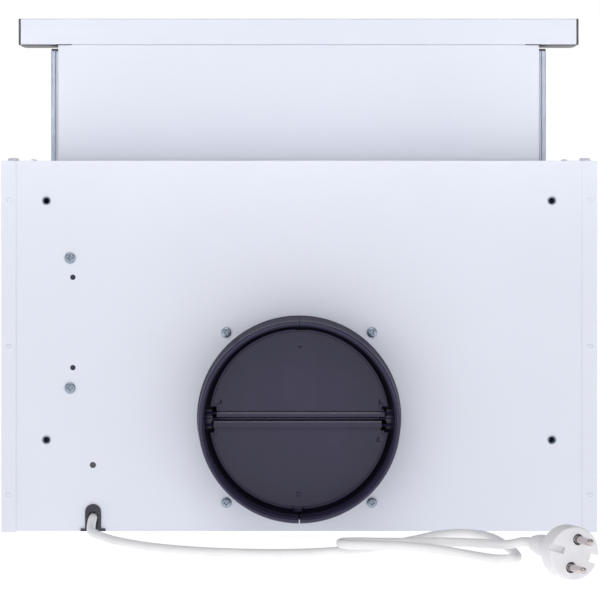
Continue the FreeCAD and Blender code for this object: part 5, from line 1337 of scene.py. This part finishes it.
def make_surroundings(scene, stage):
    """White surroundings, darker overhead and a little darker behind the camera."""
    world = bpy.data.worlds.new("surroundings")
    world.use_nodes = True
    nodes, links = world.node_tree.nodes, world.node_tree.links
    way = nodes.new("ShaderNodeTexCoord")
    axes = nodes.new("ShaderNodeSeparateXYZ")
    nodes["Background"].inputs["Color"].default_value = (1, 1, 1, 1)
    links.new(way.outputs["Generated"], axes.inputs[0])
    both = nodes.new("ShaderNodeMath")
    both.operation = "MULTIPLY"
    for number, axis, values in ((0, "Z", (0.06, 0.42, 1.02, stage.sky)),
                                 (1, "Y", (0.35, -0.25, 1.0, stage.room))):
        band = nodes.new("ShaderNodeMapRange")
        for name, value in zip(("From Min", "From Max", "To Min", "To Max"), values):
            band.inputs[name].default_value = value
        links.new(axes.outputs[axis], band.inputs["Value"])
        links.new(band.outputs[0], both.inputs[number])
    links.new(both.outputs[0], nodes["Background"].inputs["Strength"])
    scene.world = world


def make_floor():
    """A plain pale floor just under the hood."""
    work = bmesh.new()
    bmesh.ops.create_grid(work, x_segments=1, y_segments=1, size=FLOOR_HALF)
    floor = move(object_from("floor", work), Matrix.Translation((0, 0, -FLOOR_DROP)))
    paper = bpy.data.materials.new("floor_paper")
    paper.use_nodes = True
    shader = paper.node_tree.nodes["Principled BSDF"]
    for socket, value in (("Base Color", (0.3, 0.3, 0.3, 1)), ("Roughness", 0.9),
                          ("Emission Color", (1, 1, 1, 1)), ("Emission Strength", 0.92)):
        shader.inputs[socket].default_value = value
    floor.data.materials.append(paper)


def make_light(scene, name, place, aim, size, power, spread=180, glossy=True):
    """A soft rectangular light aimed at a place."""
    lamp = bpy.data.lights.new(name, "AREA")
    lamp.shape = "RECTANGLE"
    lamp.size, lamp.size_y = size
    lamp.energy = power
    lamp.spread = math.radians(spread)
    light = bpy.data.objects.new(name, lamp)
    light.location = place
    light.visible_glossy = glossy
    light.rotation_euler = (Vector(aim) - Vector(place)).to_track_quat("-Z", "Y").to_euler()
    scene.collection.objects.link(light)


# Operators

class HOOD_OT_stage(Operator):
    """Place the camera, the floor and the soft light"""

    bl_idname = "hood.stage"
    bl_label = "Stage"

    def execute(self, context):
        scene, stage = context.scene, context.scene.hood_stage
        scene.view_settings.view_transform = "Standard"
        make_camera(scene, stage)
        make_surroundings(scene, stage)
        make_floor()
        front_share, fill_share = 0.028, 0.45
        make_light(scene, "key_light", place=(-0.25, -1.65, 1.78), aim=(0, 0, 0.3),
                   size=(1.8, 0.35), power=stage.key)
        make_light(scene, "front_light", place=(0, -1.2, 0.74), aim=(0, 0.07, 0.33),
                   size=(2.6, 0.14), power=stage.key * front_share, spread=12)
        make_light(scene, "fill_light", place=(0, -1.3, 0.10), aim=(0, 0, 0.10),
                   size=(2.6, 0.4), power=stage.key * fill_share, glossy=False)
        return {"FINISHED"}


class HOOD_OT_finishes(Operator):
    """Make the finishes of all the pieces"""

    bl_idname = "hood.finishes"
    bl_label = "Finishes"

    def execute(self, context):
        tints = context.scene.hood_colours
        for material in list(bpy.data.materials):
            material.name = "cad_" + material.name
        groups = {"coat": powder_coat(), "grain": moulded_grain(), "metal": rolled_metal(),
                  "skin": soft_skin()}
        black = tuple(tints.black_plastic)
        finishes = {
            "black_matte": Finish("grain", black, darker(black, -0.25), 0.6, bump=0.3,
                                  distance=0.02 * MM, specular=0.35),
            # black_deep: black plastic made darker still, painted shade for the ring deep in the
            # collar's throat
            "black_deep": Finish("grain", darker(black, 0.6), darker(black, 0.7), 0.7, bump=0.3,
                                 specular=0.2),
            "dark_steel": Finish("metal", (0.20, 0.21, 0.23), (0.12, 0.12, 0.14), 0.42,
                                 metal=0.8, scale=2.0, bump=0.3),
            "nickel": Finish("metal", (0.66, 0.60, 0.60), (0.56, 0.50, 0.50), 0.2, metal=0.95,
                             scale=3.0, bump=0.06),
            "copper": Finish("metal", (0.62, 0.27, 0.13), (0.48, 0.18, 0.08), 0.32, metal=0.9,
                             scale=3.0, bump=0.4),
            "white_plastic": Finish("grain", (0.74, 0.74, 0.76), (0.69, 0.69, 0.71), 0.4),
            "glass": Finish("grain", (0.86, 0.87, 0.88), (0.80, 0.82, 0.84), 0.35, bump=0.3,
                            transmission=0.6),
        }
        for name, group, share, rough, more in (
                ("white_paint", "coat", 0.025, 0.42, {"bump": 0.12}),
                ("black_plastic", "grain", -0.2, 0.22,
                 {"bump": 0.15, "distance": 0.02 * MM, "specular": 0.45, "spread": 0.04}),
                ("dark_cap", "grain", 0.2, 0.45, {"bump": 0.25}),
                ("zinc", "metal", 0.25, 0.28, {"metal": 0.9, "scale": 4.0, "bump": 0.1}),
                ("steel", "metal", 0.16, 0.36, {"metal": 0.85, "bump": 0.15}),
                ("aluminium", "metal", 0.14, 0.33, {"metal": 0.9}),
                ("cord_white", "skin", 0.06, 0.5, {"bump": 0.25}),
                ("plug_white", "grain", 0.05, 0.42, {"bump": 0.15}),
                ("grommet", "skin", 0.3, 0.6, {"bump": 0.4})):
            tint = tuple(getattr(tints, name))
            finishes[name] = Finish(group, tint, darker(tint, share), rough, **more)
        for name, finish in finishes.items():
            make_finish(name, finish, groups)
        return {"FINISHED"}


class HOOD_OT_cord(Operator):
    """Make the mains cord, its strain relief and its plug"""

    bl_idname = "hood.cord"
    bl_label = "Cord and plug"

    def execute(self, context):
        sizes = context.scene.hood_sizes
        cord = dress(make_cord(sizes.cord_diameter), "cord_white", "casing", ("power_cord",))
        place = plug_matrix()
        relief = dress(move(make_relief(), place), "plug_white", "casing",
                       ("plug_strain_relief",))
        body = dress(move(plug_body(), place), "plug_white", "casing", ("plug_body",))
        pins = dress(move(plug_pins(), place), "nickel", "casing", ("plug_pins",))
        springs = dress(move(plug_contacts(), place), "nickel", "casing",
                        ("plug_earth_contacts",))
        seats = dress(move(pin_seats(), place), "grommet", "casing")
        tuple(CORD_ROUTE[0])
        return {"FINISHED"}


class HOOD_OT_casing(Operator):
    """Make the painted sheets of the casing"""

    bl_idname = "hood.casing"
    bl_label = "Casing"

    def execute(self, context):
        sizes = context.scene.hood_sizes
        bend, edge = sizes.sheet_bend, sizes.sheet_edge
        dressed_copy("casing_wrapper", "casing_sheet", "white_paint", "casing", edge,
                     folded_sheet("casing_wrapper", bend))
        for side, sign in SIDES:
            node = "side_panel_" + side
            low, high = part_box(node)
            out = high.x if sign > 0 else low.x
            inner, within, corner_share = bend - SHEET, out - sign * SHEET, 0.6
            bends = [(2, out, low.y, bend), (2, within, low.y + SHEET, inner),
                     (1, out, low.z, bend), (1, within, low.z + SHEET, inner),
                     (0, low.y, low.z, bend * corner_share)]
            dressed_copy(node, "side_sheet_" + side, "white_paint", "casing", edge, bends)
        dressed_copy("underside_frame", "underside_sheet", "white_paint", "casing", edge,
                     segments=2)
        return {"FINISHED"}


def folded_sheet(node, bend):
    """The two folds of a sheet, along X at the top and at the foot of its front."""
    low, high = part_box(node)
    return [(0, low.y, high.z, bend), (0, low.y + SHEET, high.z - SHEET, bend - SHEET),
            (0, low.y, low.z, bend), (0, low.y + SHEET, low.z + SHEET, bend - SHEET)]


class HOOD_OT_fasteners(Operator):
    """Make the rivets, screws and rivet nuts of the casing"""

    bl_idname = "hood.fasteners"
    bl_label = "Fasteners"

    def execute(self, context):
        dress(casing_rivets(), "white_paint", "casing", ("casing_rivets",))
        head = 2.2
        screw = pan_screw(radius=4.2, height=head, shank=THREAD, reach=2.2)
        fasten("painted_screws", "front_screws", screw, head, "white_paint", TOWARD_TOP, seed=11)
        head = 1.8
        for name, node, radius, seed in (("box_head_screws", "box_screws", 4.15, 5),
                                         ("collar_head_screws", "collar_screws", 3.9, 9)):
            screw = pan_screw(radius, height=head, shank=THREAD, reach=7.6)
            fasten(name, node, screw, head, "zinc", TOWARD_FRONT, seed)
        flange = 0.5
        fasten("rivet_nuts", "mounting_rivet_nuts", rivet_nut(), flange, "zinc", TOWARD_FRONT,
               seed=2)
        return {"FINISHED"}


def casing_rivets():
    """Flat rivets on the flanges of the plate, and tall ones on the front wall."""
    high_up, behind_plate = CAD_HIGH.z * 0.7, PLATE + 5 * MM
    radius, reach, flat_dome, tall_dome = 2.5, 2.6, 0.6, 1.2
    front, plate = [], []
    for centre, low, high in solids("casing_rivets"):
        if high.z > high_up and low.y > behind_plate:
            front.append((centre.x, centre.y, high.z - tall_dome * MM))
        else:
            plate.append((centre.x, low.y + flat_dome * MM, centre.z))
    flat = blind_rivet(radius, flat_dome, reach)
    tall = blind_rivet(radius, tall_dome, reach)
    rivets = [turned_copies("flat_rivets", flat, plate, "white_paint", TOWARD_FRONT, seed=3),
              turned_copies("tall_rivets", tall, front, "white_paint", TOWARD_TOP, seed=4)]
    discard(flat, tall)
    return joined("blind_rivets", rivets)


class HOOD_OT_grommet(Operator):
    """Make the rubber edging of the notch"""

    bl_idname = "hood.grommet"
    bl_label = "Rubber edging"

    def execute(self, context):
        lip = 0.45 * MM
        dressed_copy("cable_grommet", "notch_edging", "grommet", "casing", lip)
        return {"FINISHED"}


class HOOD_OT_blower(Operator):
    """Make the blower housing with the duct collar"""

    bl_idname = "hood.blower"
    bl_label = "Blower housing"

    def execute(self, context):
        sizes = context.scene.hood_sizes
        for side, sign in SIDES:
            dressed_copy("scroll_half_" + side, "housing_" + side, "black_matte", "casing",
                         sizes.moulded_edge, change=open_seam(sign, sizes.seam_gap))
            lip, ledge, throat = collar_rings(sign, sizes.seam_gap)
            dress(joined("collar_rim_" + side, [lip, ledge]), "black_plastic", "casing")
            # The ring deep in the throat is finished darker than the flaps: painted shade in the
            # gap round them.
            throat.name = "collar_throat_" + side
            dress(throat, "black_deep", "casing")
        dress(hinge_bridge(), "black_plastic", "casing", ("flap_hinge_bar",))
        head = 2.0
        screw = pan_screw(radius=3.0, height=head, shank=1.6, reach=12.0)
        fasten("housing_screws", "scroll_screws", screw, head, "zinc", TOWARD_LEFT, seed=6)
        return {"FINISHED"}


class HOOD_OT_flaps(Operator):
    """Make the two non-return flaps"""

    bl_idname = "hood.flaps"
    bl_label = "Non-return flaps"

    def execute(self, context):
        for side, flap in (("upper", UPPER_FLAP), ("lower", LOWER_FLAP)):
            parts = [flap_plate(flap)] + flap_barrel(flap) + flap_ribs(flap)
            dress(joined("half_moon_" + side, parts), "black_plastic", side + "_flap",
                  ("flap_" + side,))
        return {"FINISHED"}


class HOOD_OT_impeller(Operator):
    """Make the impeller with its curved blades"""

    bl_idname = "hood.impeller"
    bl_label = "Impeller"

    def execute(self, context):
        parts = blade_rows(context.scene.hood_sizes.blade_count)
        parts.append(impeller_disc())
        parts += [impeller_ring(sign) for sign in (-1, 1)]
        dress(joined("fan_wheel", parts), "white_plastic", "rotor", ("impeller",))
        return {"FINISHED"}


class HOOD_OT_filter(Operator):
    """Make the grease filter with its expanded mesh and its latch"""

    bl_idname = "hood.grease_filter"
    bl_label = "Grease filter"

    def execute(self, context):
        frame_edge = 0.7 * MM
        dressed_copy("filter_frame", "filter_surround", "aluminium", "grease_filter", frame_edge)
        low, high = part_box("filter_mesh")
        dress(expanded_mesh("filter_weave", low, high, 2, context.scene.hood_sizes),
              "aluminium", "grease_filter", ("filter_mesh",))
        dress(latch_slider(), "dark_cap", "filter_catch", ("filter_latch",))
        return {"FINISHED"}


def latch_slider():
    """The latch of the grease filter, with three ribs to slide it by."""
    low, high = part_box("filter_latch")
    half_long, first, pitch, wide = 7.6 * MM, 4.6 * MM, 1.3 * MM, 0.6 * MM
    sunk, proud, body_edge, rib_edge = 0.3 * MM, 0.25 * MM, 0.25 * MM, 0.15 * MM
    parts = [worked_copy("filter_latch", "latch_body", body_edge)]
    for index in range(3):
        z = low.z + first + index * pitch
        parts.append(block("latch_rib", (-half_long, high.y - sunk, z),
                           (half_long, high.y + proud, z + wide), rib_edge))
    return joined("filter_catch_slider", parts)


class HOOD_OT_controls(Operator):
    """Make the lamp, the switch panel and the knobs"""

    bl_idname = "hood.controls"
    bl_label = "Lamp and switches"

    def execute(self, context):
        edge = 0.5 * MM
        dressed_copy("lamp_housing", "lamp_cup", "white_plastic", "casing", edge)
        dress(lamp_glass(), "glass", "casing", ("lamp_lens",))
        dressed_copy("control_panel", "switch_panel", "white_plastic", "casing", edge)
        dress(switch_marks(), "dark_cap", "casing")
        for switch in ("fan", "light"):
            node = switch + "_switch_knob"
            dress(knob(node, switch + "_slider"), "dark_cap", switch + "_switch", (node,))
        return {"FINISHED"}


def lamp_glass():
    """The lamp's glass, with rings pressed into its face."""
    low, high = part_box("lamp_lens")
    radius, thick = (high.x - low.x) / 2 / MM, (high.y - low.y) / MM
    rings, margin, tooth, deep = 12, 2.0, 0.55, 0.35
    profile = [(0.0, 0.0), (radius - 0.4, 0.0), (radius, 0.4), (radius, thick - 0.5),
               (radius - 0.5, thick)]
    for index in range(rings):
        outer = (radius - margin) * (rings - index) / rings
        profile += [(outer, thick - 0.02), (outer - tooth, thick - deep)]
    profile.append((0.0, thick - 0.05))
    glass = turned("lamp_glass", profile, steps=72, smooth_angle=25.0)
    return seated(glass, ((low.x + high.x) / 2, low.y, (low.z + high.z) / 2), "X", -QUARTER)


def switch_marks():
    """Short marks above the places of the two switches, each longer than the last."""
    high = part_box("control_panel")[1]
    half_wide, sunk, proud, rounding = 0.35 * MM, 0.2 * MM, 0.12 * MM, 0.08 * MM
    foot, top, growth = 7.4 * MM, 5.4 * MM, 0.9 * MM
    marks = []
    for start, count, pitch in ((94.8 * MM, 3, 10.2 * MM), (150.8 * MM, 2, 8.4 * MM)):
        for index in range(count):
            x = start + pitch * index
            marks.append(block("mark", (x - half_wide, high.y - sunk, high.z - foot),
                               (x + half_wide, high.y + proud, high.z - top + index * growth),
                               rounding))
    return joined("switch_marks", marks)


def knob(node, name):
    """A switch's knob with ribs across it, the middle one proud of the others."""
    low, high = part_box(node)
    ribs, half_wide, inset = 5, 0.5 * MM, 0.5 * MM
    base_drop, rib_root, rib_drop = 1.0 * MM, 1.4 * MM, 0.35 * MM
    base_edge, rib_edge = 0.3 * MM, 0.22 * MM
    parts = [block("knob_base", low, (high.x, high.y - base_drop, high.z), base_edge)]
    for index in range(ribs):
        x = low.x + (high.x - low.x) * (index + 0.5) / ribs
        top = high.y if index == ribs // 2 else high.y - rib_drop
        parts.append(block("knob_rib", (x - half_wide, high.y - rib_root, low.z + inset),
                           (x + half_wide, top, high.z - inset), rib_edge))
    return joined(name, parts)


class HOOD_OT_slides(Operator):
    """Make the ball slides, their brackets, cages, balls and screws"""

    bl_idname = "hood.slides"
    bl_label = "Ball slides"

    def execute(self, context):
        edge, cage_edge = 0.3 * MM, 0.1 * MM
        for side, sign in SIDES:
            dressed_copy("slide_outer_" + side, "fixed_rail_" + side, "steel", "casing", edge)
            dressed_copy("slide_bracket_" + side, "rail_bracket_" + side, "steel", "casing",
                         edge)
            dress(drawer_rail(side, sign), "steel", "drawer", ("slide_inner_" + side,))
            dressed_copy("ball_cage_" + side, "cage_strip_" + side, "steel", "ball_cages",
                         cage_edge, segments=2)
        dress(rail_ends(), "dark_cap", "drawer")
        dress(rail_liners(), "white_paint", "drawer")
        dress(slide_balls(), "zinc", "ball_cages", ("slide_balls",))
        dress(slide_screws(), "zinc", "casing", ("slide_screws",))
        return {"FINISHED"}


def slide_balls():
    """The balls in the cages of both slides."""
    radius = 1.6 * MM
    work = bmesh.new()
    bmesh.ops.create_icosphere(work, subdivisions=3, radius=radius)
    ball = object_from("ball_shape", work, smooth_angle=80.0)
    balls = copies("rail_balls", ball, [solid[0] for solid in solids("slide_balls")], "zinc")
    discard(ball)
    return balls


def slide_screws():
    """The screws of both slides, with their heads toward the hood's middle."""
    head = 1.6
    screw = pan_screw(radius=3.2, height=head, shank=THREAD, reach=3.4)
    sides = []
    for sign, facing, seed in ((-1, TOWARD_RIGHT, 21), (1, TOWARD_LEFT, 22)):
        places = [place for place in head_seats("slide_screws", facing, head)
                  if place.x * sign > 0]
        sides.append(turned_copies("side_screws", screw, places, "zinc", facing, seed))
    discard(screw)
    return joined("rail_screws", sides)


def drawer_rail(side, sign):
    """The drawer's rail with a rolled edge and two grooves along its face."""
    low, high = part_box("slide_inner_" + side)
    face, out = (high.x, low.x) if sign < 0 else (low.x, high.x)
    edge, rolled, deep, past, closed_end = 0.3 * MM, 1.0 * MM, 2.0 * MM, 1.0 * MM, 1.2 * MM
    rail = worked_copy("slide_inner_" + side, "drawer_rail_" + side, edge,
                       [(2, out, low.y, rolled)], 3)
    for first, last in ((-0.2 * MM, 0.95 * MM), (2.2 * MM, 3.2 * MM)):
        ends = sorted((face + sign * first, face + sign * last))
        carve(rail, block("groove", (ends[0], low.y - past, low.z - past),
                          (ends[1], low.y + deep, high.z - closed_end), 0.0))
    return sharpen(rail, smooth_angle=35.0)


def rail_ends():
    """Plastic caps on the upper ends of the drawer's rails."""
    inset, proud, sunk, rise, rounding = 0.25 * MM, 0.3 * MM, 0.7 * MM, 1.2 * MM, 0.5 * MM
    caps = []
    for side in ("left", "right"):
        low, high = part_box("slide_inner_" + side)
        caps.append(block("rail_cap", (low.x + inset, low.y - proud, high.z - sunk),
                          (high.x - inset, high.y, high.z + rise), rounding, 3))
    return joined("rail_end_caps", caps)


def rail_liners():
    """Light strips in white paint between the two grooves of each of the drawer's rails."""
    first, last, proud, sunk = 0.95 * MM, 2.15 * MM, 0.25 * MM, 0.3 * MM
    foot, top, rounding = 1.0 * MM, 1.5 * MM, 0.1 * MM
    strips = []
    for side, sign in SIDES:
        low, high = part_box("slide_inner_" + side)
        face = high.x if sign < 0 else low.x
        ends = sorted((face + sign * first, face + sign * last))
        strips.append(block("rail_liner", (ends[0], low.y - proud, low.z + foot),
                            (ends[1], low.y + sunk, high.z - top), rounding))
    return joined("rail_liners", strips)


class HOOD_OT_drawer(Operator):
    """Make the drawer: its panel, frame, mesh and bar"""

    bl_idname = "hood.drawer"
    bl_label = "Drawer"

    def execute(self, context):
        sizes = context.scene.hood_sizes
        dressed_copy("drawer_top_panel", "drawer_sheet", "white_paint", "drawer",
                     sizes.sheet_edge, folded_sheet("drawer_top_panel", sizes.sheet_bend))
        channel_edge, bar_end_edge, cap_edge, cap_round = 0.3 * MM, 0.2 * MM, 0.4 * MM, 1.2 * MM
        for side in ("left", "right"):
            dressed_copy("drawer_side_" + side, "drawer_channel_" + side, "zinc", "drawer",
                         channel_edge)
        dress(framed_mesh("drawer_filter_mesh", sizes), "aluminium", "drawer",
              ("drawer_filter_mesh",))
        foot_share = 0.7
        dressed_copy("front_bar", "bar_profile", "white_paint", "drawer", bar_end_edge,
                     long_edges("front_bar", sizes.bar_edge, sizes.bar_edge * foot_share),
                     segments=4)
        dress(bar_cover(), "dark_cap", "drawer", ("bar_rear_cover",))
        dressed_copy("bar_end_caps", "bar_caps", "dark_cap", "drawer", cap_edge,
                     long_edges("bar_end_caps", cap_round, cap_round))
        return {"FINISHED"}


def long_edges(node, top, foot):
    """The edges of a node along X, with one radius at its top and another at its foot."""
    low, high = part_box(node)
    return [(0, y, z, radius) for z, radius in ((high.z, top), (low.z, foot))
            for y in (low.y, high.y)]


def bar_cover():
    """The cover behind the bar, with its ends past the rails and a lip over each rail."""
    low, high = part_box("front_bar")
    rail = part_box("slide_inner_right")[0].x
    edge, end_edge, lip_edge = 0.25 * MM, 0.2 * MM, 0.1 * MM
    inset, drop, end_start, end_high = 0.2 * MM, 0.3 * MM, 1.2 * MM, 1.2 * MM
    lip_start, lip_end, lip_high = -11.0 * MM, 2.0 * MM, 0.5 * MM
    lip_front, lip_back = 0.05 * MM, 0.9 * MM
    parts = [worked_copy("bar_rear_cover", "cover_sheet", edge)]
    for sign in (-1, 1):
        ends = sorted((sign * (rail + end_start), sign * (high.x - inset)))
        parts.append(block("cover_end", (ends[0], low.y + inset, low.z - drop),
                           (ends[1], high.y - inset, low.z + end_high), end_edge))
        ends = sorted((sign * (rail + lip_start), sign * (rail + lip_end)))
        parts.append(block("cover_lip", (ends[0], low.y + lip_front, low.z - drop),
                           (ends[1], low.y + lip_back, low.z + lip_high), lip_edge))
    return joined("bar_cover", parts)


class HOOD_OT_inside(Operator):
    """Give the motor and the electrical parts inside their finishes"""

    bl_idname = "hood.inside"
    bl_label = "Inside parts"

    def execute(self, context):
        for finish, nodes in (
                ("zinc", ("motor_can",)),
                ("steel", ("motor_bracket",)),
                ("dark_steel", ("motor_stator", "motor_rotor")),
                ("copper", ("motor_windings", "motor_bushes")),
                ("nickel", ("motor_shaft",)),
                ("white_plastic", ("run_capacitor", "terminal_block")),
                ("black_plastic", ("terminal_box", "terminal_box_cover")),
                ("cord_white", ("inner_cord",)),
                ("dark_cap", ("cable_clamp",))):
            for node in nodes:
                for material_slot in NODES[node].material_slots:
                    material_slot.material = bpy.data.materials[finish]
        return {"FINISHED"}


class HOOD_PT_pieces(Panel):
    """Panel with the hood's pieces, sizes and colours"""

    bl_idname = "HOOD_PT_pieces"
    bl_label = "Cooker hood"
    bl_space_type = "VIEW_3D"
    bl_region_type = "UI"
    bl_category = "Hood"

    def draw(self, context):
        for operator in OPERATORS:
            self.layout.operator(operator.bl_idname)
        for name in GROUPS:
            group = getattr(context.scene, name)
            column = self.layout.column(align=True)
            for value in group.__annotations__:
                column.prop(group, value)


GROUPS = {"hood_sizes": HoodSizes, "hood_colours": HoodColours, "hood_stage": HoodStage}
OPERATORS = (HOOD_OT_stage, HOOD_OT_finishes, HOOD_OT_cord, HOOD_OT_casing, HOOD_OT_fasteners,
             HOOD_OT_grommet, HOOD_OT_blower, HOOD_OT_flaps, HOOD_OT_impeller, HOOD_OT_filter,
             HOOD_OT_controls, HOOD_OT_slides, HOOD_OT_drawer, HOOD_OT_inside)
CLASSES = (*GROUPS.values(), *OPERATORS, HOOD_PT_pieces)


def register():
    for part in CLASSES:
        bpy.utils.register_class(part)
    for name, group in GROUPS.items():
        setattr(bpy.types.Scene, name, PointerProperty(type=group))


def unregister():
    for name in GROUPS:
        delattr(bpy.types.Scene, name)
    for part in reversed(CLASSES):
        bpy.utils.unregister_class(part)


def main():
    """Make every piece in order."""
    register()
    for operator in OPERATORS:
        area, name = operator.bl_idname.split(".")
        getattr(getattr(bpy.ops, area), name)()


if __name__ == "__main__":
    main()
